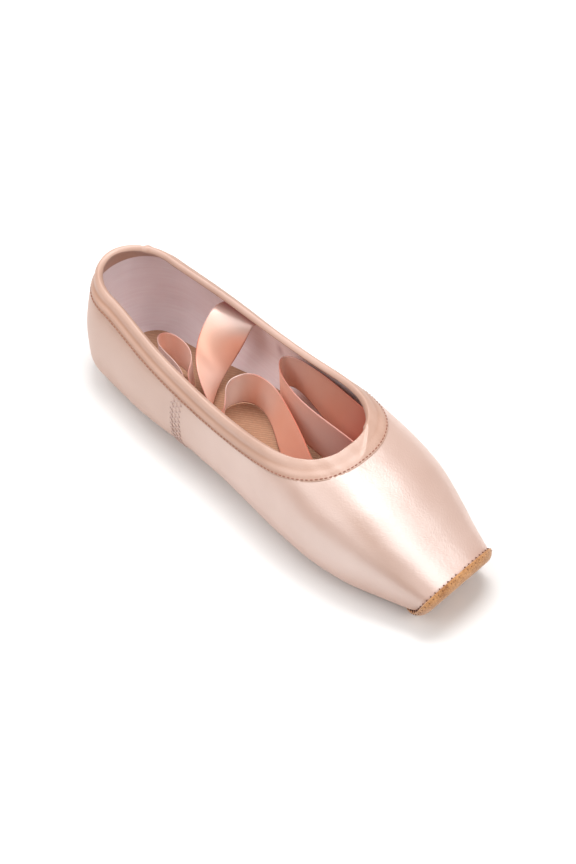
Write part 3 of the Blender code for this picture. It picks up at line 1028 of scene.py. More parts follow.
# Peach satin: a long soft glow over the box and a pale pink body. Its deep colour is painted shade at the
# heel, by the sole and down the box's shoulders, and its pale colour a faint painted highlight over the box.
# Its threads are
# 0.1 mm apart and are drawn at 0.9 mm, because finer ones can't be seen.
SATIN = WovenFinish(
    name="peach_satin",
    light="#D3AD9C",
    dark="#C99F8C",
    deep="#B07B5C",
    roughness=0.48,
    ior=2.3,
    spread=0.85,
    turn=0.25,
    thread=0.9 * MM,
    ripple=0.12 * MM,
)
# Satin tape on the bias: duller and tanner than the body. Its deep colour is painted shade in the grooves
# beside the drawstring, below the bead at the edge and on its inside
CASING = WovenFinish(
    name="casing_satin",
    light="#C59B86",
    dark="#B68A73",
    deep="#A66D4A",
    roughness=0.50,
    ior=1.75,
    spread=0.5,
    turn=0.25,
    thread=0.7 * MM,
    ripple=0.08 * MM,
)
# Salmon satin ribbon: the glossiest piece, with painted highlights near white at its bends and painted shade,
# deep red, on its edges, under the casing and inside the toe
RIBBON = WovenFinish(
    name="ribbon_satin",
    light="#F6C2AB",
    dark="#EFB095",
    deep="#A32A0C",
    roughness=0.42,
    ior=2.5,
    spread=0.85,
    turn=0.25,
    thread=0.35 * MM,
    ripple=0.03 * MM,
    gloss=1.0,
    tinted=True,
)
# Lilac-white cotton drill: matt, with faint upright slubs
COTTON = WovenFinish(
    name="cotton_lining",
    light="#FBF0F1",
    dark="#F0DEE1",
    deep="#B08B8D",
    roughness=0.80,
    ior=1.45,
    spread=0.0,
    turn=0.0,
    thread=0.6 * MM,
    ripple=0.1 * MM,
    slub=0.05 * MM,
    streaks=0.4,
)
# Tan canvas of the footbed: fine slanting lines that break up the light
CANVAS = TwillFinish(
    name="footbed_canvas",
    light="#CDA385",
    dark="#A57C61",
    pitch=1.1 * MM,
    slant=math.radians(35),
    relief=0.15 * MM,
)
# Orange-tan suede: rough fibres, dark between them
SUEDE = NapFinish(
    name="tan_suede",
    light="#E0A66E",
    dark="#9A6030",
    grain=0.7 * MM,
    relief=0.50 * MM,
    roughness=0.95,
    sheen=0.4,
)
# Leather split of the sole: brown and smooth, slightly mottled
LEATHER = NapFinish(
    name="split_leather",
    light="#C79A6E",
    dark="#A87748",
    grain=1.6 * MM,
    relief=0.12 * MM,
    roughness=0.70,
    sheen=0.1,
)
# Threads: rose-brown dashes under the casing, dark brown teeth at the suede, pale zigzags at the side seams
CASING_THREAD = ThreadFinish("pink_thread", "#A9735F", "#87513F")
PATCH_THREAD = ThreadFinish("brown_thread", "#7A4524", "#4E2812")
SEAM_THREAD = ThreadFinish("pale_thread", "#DCC3BA", "#BFA096")
# Dark beads in the hollows between the zigzags, as painted shadow
HOLLOW_SHADOW = ThreadFinish("seam_shadow", "#B8948A", "#9C766B")


@dataclass(frozen=True)
class Crease:
    """A soft stroke over the satin: a trough, a ridge or a band of painted shade.

    Attributes:
        side: the wearer's side.
        start: along and t of its start on the last.
        end: along and t of its end.
        width: half its width, in mm.
        strength: its height in mm, or its share of the painted shade.
    """

    side: Side
    start: tuple[float, float]
    end: tuple[float, float]
    width: float
    strength: float

    def share(self, last: Last, points: np.ndarray) -> np.ndarray:
        """Share of the stroke at points of the last.

        Args:
            last: the last that the stroke lies on.
            points: places on its surface.

        Returns:
            1 along the middle of the stroke, and 0 away from it and at its ends.
        """
        share = np.linspace(0, 1, 9)
        along = self.start[0] + (self.end[0] - self.start[0]) * share
        turn = self.start[1] + (self.end[1] - self.start[1]) * share
        path = last.point(np.array([last.u_of(a) for a in along]), turn) * (1, self.side.value, 1)
        best = np.full(points.shape[:-1], np.inf)
        where = np.zeros(points.shape[:-1])
        for i in range(len(path) - 1):
            step = path[i + 1] - path[i]
            part = np.clip(((points - path[i]) @ step) / (step @ step), 0, 1)
            distance = np.linalg.norm(points - path[i] - part[..., None] * step, axis=-1)
            where = np.where(distance < best, (i + part) / (len(path) - 1), where)
            best = np.minimum(best, distance)
        fade = np.sin(math.pi * np.clip(where, 0.02, 0.98)) ** 0.7
        return bell(best, self.width * MM) * fade


# Troughs beside the side seams, where the shoe bends at the arch, and the hollows over the heel's sides
CREASES = (
    Crease(Side.RIGHT, (0.34, 2.35), (0.36, 1.6), 2.6, -0.35),
    Crease(Side.RIGHT, (0.385, 2.35), (0.41, 1.6), 2.8, -0.30),
    Crease(Side.LEFT, (0.34, 2.35), (0.36, 1.6), 2.6, -0.35),
    Crease(Side.LEFT, (0.39, 2.3), (0.42, 1.6), 2.8, -0.30),
    Crease(Side.RIGHT, (0.15, 2.3), (0.22, 1.7), 6.0, -0.4),
    Crease(Side.LEFT, (0.14, 2.3), (0.24, 1.7), 6.0, -0.4),
)

# Bands of painted shade, in the deeper peach, down the shoulders of the box
SHADE_BANDS = (
    Crease(Side.RIGHT, (0.715, 2.70), (0.87, 2.60), 5.0, 0.65),
    Crease(Side.RIGHT, (0.79, 2.64), (0.985, 2.40), 5.5, 0.85),
    Crease(Side.LEFT, (0.74, 2.50), (0.985, 2.40), 6.0, 0.25),
)

# Shares of painted shade, in the deeper peach, at the heel and by the sole, and of a painted highlight, in
# the pale peach, over the box
HEEL_PAINTED_SHADE = 0.70
LOW_PAINTED_SHADE = 0.5
TOP_PAINTED_HIGHLIGHT = 0.10

# Faint waves of the cloth over the last: height, turns per metre along, across and up, and where they start
WAVE_HEIGHT = 0.00010
WAVE_TURNS = (230, 170, 210)
WAVE_START = 1.3


@dataclass
class Upper:
    """The satin outside and the cotton lining, lasted over the stiff box.

    Attributes:
        last: the last.
        satin_thick: thickness of the satin and the glue under it.
        lining_depth: depth of the lining under the last's surface.
        lining_thick: thickness of the lining.
        pleat_height: height of the pleats under the toe.
        pleats: number of pleats in a full turn.
        pleat_centre: the share of the length that the pleats turn about.
        seam_x: X of the lining's seam.
        seam_slant: how far the seam leans, in X by Z, from its foot at seam_foot.
        seam_width: half width of the seam.
        stations: rows round the heel, to the throat's curve, to the throat, to the box, to the platform,
            round its edge and over its face.
        columns: columns under the shoe, up to the widest place, and up to the opening.
    """

    last: Last
    satin_thick: float = 0.0007
    lining_depth: float = 0.0012
    lining_thick: float = 0.0007
    pleat_height: float = 0.0004
    pleats: int = 44
    pleat_centre: float = 0.84
    seam_x: float = -0.030
    seam_slant: float = 0.12
    seam_foot: float = 0.03
    seam_width: float = 0.0005
    stations: tuple[int, ...] = (34, 60, 34, 26, 30, 10, 12)
    columns: tuple[int, ...] = (8, 22, 42)

    def rows(self) -> np.ndarray:
        """Stations of the satin, from the back of the heel to the middle of the platform."""
        last, place = self.last, self.last.place
        fan, body, throat, ball, box, edge, face = self.stations
        parts = [last.fan(fan), last.run(place.heel_fan, place.rim_gather, body)]
        parts.append(last.gather(place.rim_gather, place.throat, throat))
        parts.append(last.run(place.throat, place.opening_taper, ball))
        parts.append(last.run(place.opening_taper, 1.0 - last.size.platform_edge / last.size.length, box))
        parts.append(last.edge_u + (last.face_u - last.edge_u) * np.arange(edge) / edge)
        parts.append(np.linspace(last.face_u, last.pole_u, face))
        return np.concatenate(parts)

    def turns(self, u: np.ndarray) -> np.ndarray:
        """t of each column at each station."""
        low = self.last.opening_t(u)[:, None]
        high = self.last.rim_t(u)[:, None]
        flat, lower, upper = self.columns
        under = low + (1 - low) * np.arange(flat) / flat
        side = np.repeat(1 + np.arange(lower)[None] / lower, len(u), 0)
        return np.concatenate((under, side, 2 + (high - 2) * np.linspace(0, 1, upper)), 1)

    def pleating(self, points: np.ndarray, turn: np.ndarray) -> np.ndarray:
        """Troughs of the pleats that gather the satin under the toe."""
        angle = np.arctan2(points[..., 1], points[..., 0] - self.last.x_of(self.pleat_centre))
        troughs = (0.5 - 0.5 * np.cos(angle * self.pleats)) ** 2
        start = self.last.x_of(self.last.place.opening_taper)
        fade = ramp(turn, 1.62, 1.12) * ramp(points[..., 0], start, start + 0.02)
        return -self.pleat_height * troughs * fade

    def surface(self, depth: float, creased: bool) -> tuple[np.ndarray, np.ndarray]:
        """Works out the whole shell.

        Args:
            depth: depth under the last's surface.
            creased: adds the creases, pleats and waves of the satin.

        Returns:
            A point and flat coordinates for each row and column.
        """
        u = self.rows()
        turn = self.turns(u)
        outer = self.last.point(u[:, None], turn)
        normal = self.last.normal(u[:, None], turn)
        points = both_halves(outer, 1)
        normals = both_halves(normal, 1)
        turns = np.concatenate((np.flip(turn, 1), turn), 1)
        relief = np.zeros(points.shape[:-1])
        if creased:
            for crease in CREASES:
                relief += crease.strength * MM * crease.share(self.last, points)
            relief += self.pleating(points, turns)
            ahead, aside, up = (points[..., i] * turn for i, turn in enumerate(WAVE_TURNS))
            relief += WAVE_HEIGHT * np.sin(ahead + WAVE_START) * np.sin(aside + up)
            # The edges of the opening underneath stay straight
            middle = (np.abs(points[..., 1]) < 0.002) & (turns < 0.2)
            relief = np.where(middle, 0, relief)
        girth = np.cumsum(np.linalg.norm(np.diff(points, axis=1), axis=-1), axis=1)
        girth = np.concatenate((np.zeros((len(u), 1)), girth), 1)
        girth -= girth[:, [girth.shape[1] // 2]]
        flat = np.stack((girth, np.repeat(u[:, None], girth.shape[1], 1)), -1)
        return points + normals * (relief - depth)[..., None], flat

    def painted_shade(self, points: np.ndarray) -> np.ndarray:
        """Share of the deeper peach as painted shade, which grows to the heel, down to the sole and along the
        shade bands.
        """
        back = HEEL_PAINTED_SHADE * ramp(points[..., 0], 0.010, -0.040)
        low = LOW_PAINTED_SHADE * ramp(points[..., 2], 0.024, 0.004)
        bands = sum(tone.strength * tone.share(self.last, points) for tone in SHADE_BANDS)
        return np.clip(back + low + bands, 0, 1)

    def painted_highlight(self, points: np.ndarray) -> np.ndarray:
        """Share of the pale colour, a painted highlight over the top of the box."""
        start = self.last.x_of(0.69)
        return TOP_PAINTED_HIGHLIGHT * ramp(points[..., 0], start, start + 0.02) * ramp(points[..., 2], 0.016, 0.028)

    def cut(self, shape: tuple[int, int]) -> np.ndarray:
        """The strip of faces between the two halves under the shoe, which is open."""
        drop = np.zeros((shape[0] - 1, shape[1] - 1), bool)
        drop[:, shape[1] // 2 - 1] = True
        return drop

    def build(self) -> list[bpy.types.Object]:
        """Makes the satin and the lining."""
        points, flat = self.surface(0.0, True)
        satin = woven_sheet(
            "satin_upper",
            points,
            flat,
            self.satin_thick,
            -1,
            drop=self.cut(points.shape[:2]),
            # The satin's painted shade, and then its painted highlight
            shade=self.painted_shade(points),
            gleam=self.painted_highlight(points),
        )
        dress(satin, SATIN.material(), Slot.SATIN, "upper")
        points, flat = self.surface(self.lining_depth, False)
        points, flat = points[::2], flat[::2]
        lean = self.seam_slant * (points[..., 2] - self.seam_foot)
        seam = 0.6 * bell(points[..., 0] - self.seam_x - lean, self.seam_width)
        lining = woven_sheet(
            "cotton_lining", points, flat, self.lining_thick, -1, drop=self.cut(points.shape[:2]), shade=seam
        )
        dress(lining, COTTON.material(), Slot.CANVAS, "upper")
        return [satin, lining]


@dataclass
class Footing:
    """The leather sole under the shoe and the canvas insole in it.

    Attributes:
        last: the last.
        skive: width of the sole's skived edge.
        rolled: width of the insole's rolled edge.
        crowding: how much the columns crowd towards the edge, 1 for not at all.
    """

    last: Last
    skive: float = 0.0009
    rolled: float = 0.0006
    crowding: float = 1.6

    def outline(self, taper: float, front: float, count: int) -> np.ndarray:
        """Stations of a bed that closes at the front.

        Args:
            taper: the share of the length where it starts to close.
            front: the share of the length where it ends.
            count: stations from the taper to the front.

        Returns:
            u of each station.
        """
        last = self.last
        parts = [last.fan(24), last.run(last.place.heel_fan, taper, 70), last.gather(taper, front, count)]
        return np.concatenate(parts + [np.array([last.u_of(front)])])

    def sole(self) -> bpy.types.Object:
        """The leather sole, skived thin at its edge."""
        last, size = self.last, self.last.size
        u = self.outline(last.place.sole_taper, last.place.sole_front, 26)
        along = np.maximum(last.along_of(u), last.place.heel_fan)
        edge = size.sole_of_tread * closing(along, last.place.sole_taper, last.place.sole_front)
        share = 1 - (1 - np.linspace(0, 1, 21)) ** self.crowding
        turn = edge[:, None] * share
        points = last.point(u[:, None], turn) - np.array((0, 0, size.gap))
        points = both_halves(points[:, 1:], 1)
        sole = woven_sheet("leather_sole", points, points[..., :2], size.sole_thick, 1)
        round_edges(sole, self.skive, 3)
        return dress(sole, LEATHER.material(), Slot.LEATHER, "outsole")

    def insole(self) -> bpy.types.Object:
        """The canvas insole, with its edge rolled down to the lining."""
        last, size = self.last, self.last.size
        u = self.outline(last.place.insole_taper, last.place.insole_front, 26)
        along = np.maximum(last.along_of(u), last.place.heel_fan)
        seat = last.read(u)["seat"] * closing(along, last.place.insole_taper, last.place.insole_front)
        share = 1 - (1 - np.linspace(0, 1, 31)) ** self.crowding
        width = seat[:, None] * share
        turn = last.t_at_width(u[:, None] + 0 * width, width)
        down = (size.wall + size.gap) * last.normal(u[:, None], turn)
        points = last.point(u[:, None], turn) - down
        points = both_halves(points[:, 1:], 1)
        insole = woven_sheet("canvas_insole", points, points[..., :2], size.insole_thick, -1)
        round_edges(insole, self.rolled, 2)
        return dress(insole, CANVAS.material(), Slot.CANVAS, "insole")

    def build(self) -> list[bpy.types.Object]:
        """Makes the sole and the insole."""
        return [self.sole(), self.insole()]


# Where the casing is gathered on the left of the heel, along the edge from the throat, in mm
HEEL_PUCKER = 167.0


class Pucker(NamedTuple):
    """A gathered fold across the casing: its place along the edge from the throat, in mm, left positive."""

    place: float
    slant: float
    width: float
    height: float


PUCKERS = (
    Pucker(-40, 0.5, 3.0, 0.10),
    Pucker(-27, 0.6, 2.6, -0.12),
    Pucker(-18, 0.6, 2.4, -0.20),
    Pucker(-13, 0.5, 1.8, 0.16),
    Pucker(-7, 0.3, 2.0, -0.14),
    Pucker(-2, 0.1, 1.6, 0.14),
    Pucker(17, -0.5, 2.2, -0.18),
    Pucker(23, -0.5, 2.2, 0.14),
    Pucker(32, -0.4, 2.6, -0.12),
    Pucker(HEEL_PUCKER, 0.0, 1.3, 0.50),
    Pucker(HEEL_PUCKER + 2.6, 0.0, 1.0, -0.25),
)

# Height of the casing over the satin, by the distance from the edge of the opening, both in mm
CASING_RELIEF = (
    (0.0, 0.45),
    (1.1, 0.72),
    (2.4, 0.66),
    (3.7, 0.26),
    (4.8, 0.18),
    (6.2, 0.45),
    (7.4, 0.38),
    (8.3, 0.10),
    (8.9, 0.24),
    (9.6, 0.04),
)

# Line of the cloth's folded end across the front of the casing: place along the edge, and distance, in mm
OVERLAP = ((-1.5, 13.0), (0.0, 12.5), (2.5, 7.2), (5.0, 3.6), (7.6, 0.0), (8.6, -1.5))


# The step at that line: its height, how far it fades behind and before the line, and the share of the slant
OVERLAP_HEIGHT = 0.0007
OVERLAP_FADE = 0.0035
OVERLAP_EDGE = 0.0005
OVERLAP_SLANT = 0.55


@dataclass
class Casing:
    """The drawstring casing, folded over the edge of the opening and stitched down outside.

    Attributes:
        last: the last.
        outside: width outside, from the edge of the opening.
        inside: width inside.
        inside_height: height over the lining.
        front_height: height over the satin at the throat, where it lies flat.
        front_reach: how far from the throat it lies flat, along the edge.
        wall: thickness of the tape.
        stitch_place: distance of the stitches from the edge.
        stitch_pitch: distance between stitches.
        stitch_size: length, width and height of a stitch.
        stitch_lift: height of a stitch's middle over the casing.
        stitch_reach: distance each way that gives a stitch its heading.
        stations: stations round the heel, along the side and round the throat.
        columns: columns outside, over the edge and inside.
    """

    last: Last
    outside: float = 0.0096
    inside: float = 0.0085
    inside_height: float = 0.0004
    front_height: float = 0.00045
    front_reach: float = 0.045
    wall: float = 0.00045
    stitch_place: float = 0.0086
    stitch_pitch: float = 0.0021
    stitch_size: tuple[float, float, float] = (0.0015, 0.0006, 0.00045)
    stitch_lift: float = 0.00006
    stitch_reach: float = 0.0004
    stations: tuple[int, int, int] = (60, 90, 70)
    columns: tuple[int, int, int] = (30, 11, 12)

    def edge(self) -> np.ndarray:
        """Stations of the opening's edge on the left, from the back of the heel to the throat."""
        last, place = self.last, self.last.place
        fan, body, throat = self.stations
        parts = [last.fan(fan), last.run(place.heel_fan, place.rim_gather, body)]
        parts.append(last.gather(place.rim_gather, place.throat, throat))
        return np.concatenate(parts + [np.array([last.throat_u - 1e-7])])

    def ring(self, left: np.ndarray) -> np.ndarray:
        """A whole round of the edge: the left side from the heel to the throat and the right side back."""
        return np.concatenate((left, np.flip(left[:-1], 0) * np.array((1.0, -1.0, 1.0))))

    def lines(self) -> tuple[np.ndarray, np.ndarray, np.ndarray, np.ndarray]:
        """Base points, outward directions, distance down the outside and place along the edge."""
        last, size = self.last, self.last.size
        u = self.edge()
        outside, edge, inside = self.columns
        down = np.linspace(self.outside, 0.0004, outside)
        over = np.linspace(0, math.pi, edge)
        up = np.linspace(0.0006, self.inside, inside)
        base, out = [], []
        for distance, depth, sign in ((down, 0.0, 1.0), (up, size.wall, -1.0)):
            where = last.walk(u, distance)
            normal = last.normal(*where)
            base.append(last.point(*where) - depth * normal)
            out.append(sign * normal)
        normal = last.normal(u, last.rim_t(u))[:, None]
        away = last.away(u)[:, None]
        rim = last.point(u, last.rim_t(u))[:, None] - normal * size.wall / 2
        turned = normal * np.cos(over)[None, :, None] * size.wall / 2
        base.insert(1, rim + turned)
        out.insert(1, unit(normal * np.cos(over)[None, :, None] - away * np.sin(over)[None, :, None]))
        points = self.ring(np.concatenate(base, 1))
        directions = self.ring(np.concatenate(out, 1))
        distance = np.concatenate((down, np.zeros(len(over)), -up))
        along = arc_lengths(points[:, len(down)])
        return points, directions, distance, along

    def relief(self, distance: np.ndarray, along: np.ndarray) -> np.ndarray:
        """Height of the casing over the satin.

        Args:
            distance: distance down the outside of each column, below 0 inside.
            along: place of each row along the edge.

        Returns:
            The height at each row and column.
        """
        profile = Spline([row[0] * MM for row in CASING_RELIEF], [row[1] * MM for row in CASING_RELIEF])
        height = np.where(distance >= 0, profile(np.clip(distance, 0, None)), self.inside_height)
        rounding = bell(distance, 0.0006) * 0.0001
        side = along[len(along) // 2] - along
        calm = 0.75 * bell(side, self.front_reach)[:, None]
        smooth = self.front_height * ramp(distance, self.outside, self.outside - 0.0012)
        whole = (height + rounding)[None] * (1 - calm) + smooth[None] * calm
        for pucker in PUCKERS:
            place = side[:, None] - pucker.place * MM - pucker.slant * distance[None]
            fade = ramp(distance, -0.002, 0.001)
            fade = fade * ramp(distance, self.outside + 0.0005, self.outside - 0.0015)
            whole = whole + pucker.height * MM * bell(place, pucker.width * MM) * fade[None]
        fold = np.interp(distance, [row[0] * MM for row in OVERLAP], [row[1] * MM for row in OVERLAP])
        past = (side[:, None] - fold[None]) * OVERLAP_SLANT
        shown = ramp(distance, -0.0015, 0.0) * ramp(distance, 0.0086, 0.0056)
        step = np.exp(-np.clip(past, 0, None) / OVERLAP_FADE) * ramp(past, -OVERLAP_EDGE, 0.0)
        whole = whole + OVERLAP_HEIGHT * step * shown[None]
        pull = 0.00010 * np.cos(2 * math.pi * along / self.stitch_pitch)[:, None]
        return np.maximum(whole + pull * bell(distance - self.stitch_place, 0.0012)[None], 0.00005)

    def shade(self, distance: np.ndarray, along: np.ndarray) -> np.ndarray:
        """Share of the deep colour, all painted shade: in the grooves along the casing, below its bead and on
        its inside, less at the front.

        Args:
            distance: distance down the outside of each column, below 0 inside.
            along: place of each row along the edge.

        Returns:
            The share at each row and column.
        """
        front = bell(along[len(along) // 2] - along, 0.040)[:, None]
        # Painted shade in the two grooves, below the bead so that the bead reads as lit, and on the inside
        grooves = 0.55 * bell(distance - 0.0045, 0.0008) + 0.65 * bell(distance - 0.0083, 0.0007)
        outer = 0.22 * ramp(distance, 0.0032, 0.0042)
        inside = 0.22 * ramp(distance, -0.0006, -0.0018)
        return np.clip((grooves + outer)[None] * (1 - 0.8 * front) + inside[None], 0, 1)

    def build(self) -> list[bpy.types.Object]:
        """Makes the casing and its row of stitches."""
        points, directions, distance, along = self.lines()
        height = self.relief(distance, along)
        height[-1] = height[0]
        flat = np.stack(np.broadcast_arrays(along[:, None], distance[None, :]), -1)
        placed = points + directions * height[..., None]
        casing = woven_sheet("casing", placed, flat, self.wall, -1, shade=self.shade(distance, along))
        dress(casing, CASING.material(), Slot.CASING, "binding")
        return [casing, self.stitches(points, directions, distance, along, height)]

    def stitches(
        self,
        points: np.ndarray,
        directions: np.ndarray,
        distance: np.ndarray,
        along: np.ndarray,
        height: np.ndarray,
    ) -> bpy.types.Object:
        """Makes the run of small stitches that holds the casing down.

        Args:
            points: base points of the casing, by rows and columns.
            directions: directions out of the shoe.
            distance: distance down the outside of each column.
            along: place of each row along the edge.
            height: height of the casing.

        Returns:
            The piece.
        """
        col = int(np.argmin(np.abs(distance - self.stitch_place)))
        line = points[:, col] + directions[:, col] * (height[:, col] + self.stitch_lift)[:, None]
        lengths = arc_lengths(line)
        places = np.arange(self.stitch_pitch / 2, lengths[-1], self.stitch_pitch)
        centres = read_line(places, lengths, line)
        ahead = read_line(places + self.stitch_reach, lengths, line)
        behind = read_line(places - self.stitch_reach, lengths, line)
        normals = read_line(places, lengths, directions[:, col])
        row = stitch_row("casing_stitches", centres, unit(ahead - behind), unit(normals), self.stitch_size)
        return dress(row, CASING_THREAD.material(), Slot.CASING)


@dataclass
class SideSeam:
    """The zigzag seam that joins the front and the back of the satin on each side.

    Attributes:
        last: the last.
        top: along and t of its top.
        bottom: along and t of its foot.
        half_width: half its width.
        pitch: height of a zigzag.
        columns: zigzags side by side.
        slant: how far a thread leans across the seam, as a share of its way up.
        sway: how far a thread strays.
        thread_size: length, width and height of a thread.
        hollow_size: length, width and height of the dark beads of painted shadow in the hollows between
            threads.
        thread_lift: height of a thread's middle over the satin.
        hollow_lift: height of a hollow's middle.
    """

    last: Last
    top: tuple[float, float] = (0.363, 2.36)
    bottom: tuple[float, float] = (0.376, 1.45)
    half_width: float = 0.0032
    pitch: float = 0.0015
    columns: int = 3
    slant: float = 0.9
    sway: float = 0.0003
    thread_size: tuple[float, float, float] = (0.0022, 0.0005, 0.0004)
    hollow_size: tuple[float, float, float] = (0.0009, 0.0007, 0.00012)
    thread_lift: float = 0.00012
    hollow_lift: float = 0.00004

    def marks(self, rows: np.ndarray) -> tuple[list[tuple[float, ...]], list[tuple[float, ...]]]:
        """Places of the threads and of the hollows: down the seam, across it, and the slant."""
        width = 2 * self.half_width / self.columns
        threads, hollows = [], []
        for column in range(self.columns + 1):
            offset = column * width - self.half_width
            for number, place in enumerate(rows):
                odd = (number + column) % 2
                sway = self.sway * math.sin(place * 2100 + column * 2.2)
                if column < self.columns:
                    slant = self.slant if odd else -self.slant
                    threads.append((place, offset + width / 2 + sway, slant))
                if odd:
                    hollows.append((place + self.pitch / 2, offset + sway, 0.0))
        return threads, hollows

    def build(self) -> list[bpy.types.Object]:
        """Makes the pale zigzag and the dark beads of painted shadow in the hollows between its threads, on
        both sides.
        """
        share = np.linspace(0, 1, 200)
        along = self.top[0] + (self.bottom[0] - self.top[0]) * share
        turn = self.top[1] + (self.bottom[1] - self.top[1]) * share
        u = (along - self.last.place.heel_fan) * self.last.size.length
        lengths = arc_lengths(self.last.point(u, turn))
        threads, hollows = self.marks(np.arange(self.pitch, lengths[-1], self.pitch))
        pieces = []
        for name, marks, finish, size, lift in (
            ("seam_threads", threads, SEAM_THREAD, self.thread_size, self.thread_lift),
            ("seam_hollow_shadows", hollows, HOLLOW_SHADOW, self.hollow_size, self.hollow_lift),
        ):
            place, offset, slant = (np.array(column) for column in zip(*marks))
            here = np.interp(place, lengths, u) + offset
            t = np.interp(place, lengths, turn)
            normal = self.last.normal(here, t)
            ahead, around = self.last.slopes(here, t)
            heading = unit(unit(around) + unit(ahead) * slant[:, None])
            centre = self.last.point(here, t) + normal * lift
            row = stitch_row(name, *both_sides(centre, heading, normal), size)
            pieces.append(dress(row, finish.material(), Slot.SATIN))
        return pieces


@dataclass
class PlatformPatch:
    """The suede tip over the platform, whip-stitched to the satin and turned under the toe.

    Attributes:
        last: the last.
        wall: thickness of the suede.
        under: how far it reaches under the toe.
        rounding: width of its rounded edge.
        stitch_pitch: distance between stitches.
        stitch_size: length, width and height of a stitch.
        stitch_back: how far back from the suede's edge a stitch starts.
        stitch_on: how far over the suede it ends.
        stitch_lift: height over the satin at which it ends.
    """

    last: Last
    wall: float = 0.0011
    under: float = 0.012
    rounding: float = 0.0004
    stitch_pitch: float = 0.0024
    stitch_size: tuple[float, float, float] = (0.0026, 0.0008, 0.0008)
    stitch_back: float = 0.0005
    stitch_on: float = 0.0009
    stitch_lift: float = 0.0014

    def start(self, turn: np.ndarray) -> np.ndarray:
        """u of the patch's edge."""
        return self.last.edge_u - self.under * np.clip(2 - turn, 0, 1) ** 2

    def build(self) -> list[bpy.types.Object]:
        """Makes the patch and its stitches."""
        last = self.last
        turn = np.concatenate((np.linspace(0, 1, 10)[:-1], np.linspace(1, 2, 24)[:-1], np.linspace(2, 3, 40)))
        share = np.linspace(0, 1, 9)[:-1]
        start = self.start(turn)
        back = start[None] + (last.edge_u - start)[None] * share[:, None]
        rounding = np.repeat(np.linspace(last.edge_u, last.face_u, 12)[:, None], len(turn), 1)
        face = np.repeat(np.linspace(last.face_u, last.pole_u, 16)[1:, None], len(turn), 1)
        u = np.concatenate((back, rounding, face))
        wide = np.repeat(turn[None], len(u), 0)
        points = last.point(u, wide) + last.size.gap * last.normal(u, wide)
        points = both_halves(points[:, 1:], 1)
        patch = woven_sheet("suede_patch", points, points[..., 1:], self.wall, 1)
        round_edges(patch, self.rounding, 2)
        dress(patch, SUEDE.material(), Slot.SUEDE, "platform_patch")
        return [patch, self.stitches()]

    def stitches(self) -> bpy.types.Object:
        """Whip stitches across the patch's edge."""
        last = self.last
        turn = np.linspace(0.02, 2.98, 400)
        u = self.start(turn)
        line = last.point(u, turn)
        lengths = arc_lengths(line)
        places = np.arange(self.stitch_pitch / 2, lengths[-1], self.stitch_pitch)
        t = np.interp(places, lengths, turn)
        start = self.start(t)
        normal = last.normal(start, t)
        back, on = start - self.stitch_back, start + self.stitch_on
        before = last.point(back, t) + 0.0001 * last.normal(back, t)
        after = last.point(on, t + 0.002) + self.stitch_lift * last.normal(on, t)
        centre, heading = (before + after) / 2, unit(after - before)
        row = stitch_row("patch_stitches", *both_sides(centre, heading, normal), self.stitch_size)
        return dress(row, PATCH_THREAD.material(), Slot.SUEDE)


class Gleam(NamedTuple):
    """A painted highlight where a ribbon's bend catches the light: its row in the table of folds, its reach
    and its share.
    """

    fold: float
    reach: float
    share: float


# Painted highlights on the bends of the right ribbon
GLEAMS_RIGHT = (
    Gleam(3.2, 1.7, 0.90),
    Gleam(8.0, 2.2, 0.60),
    Gleam(24.5, 1.6, 0.35),
    Gleam(28.3, 1.2, 0.45),
)

# Painted highlights on the bends of the left ribbon
GLEAMS_LEFT = (
    Gleam(1.2, 1.1, 0.65),
    Gleam(5.3, 1.2, 0.35),
    Gleam(12.2, 2.2, 0.95),
    Gleam(16.5, 1.3, 0.40),
)


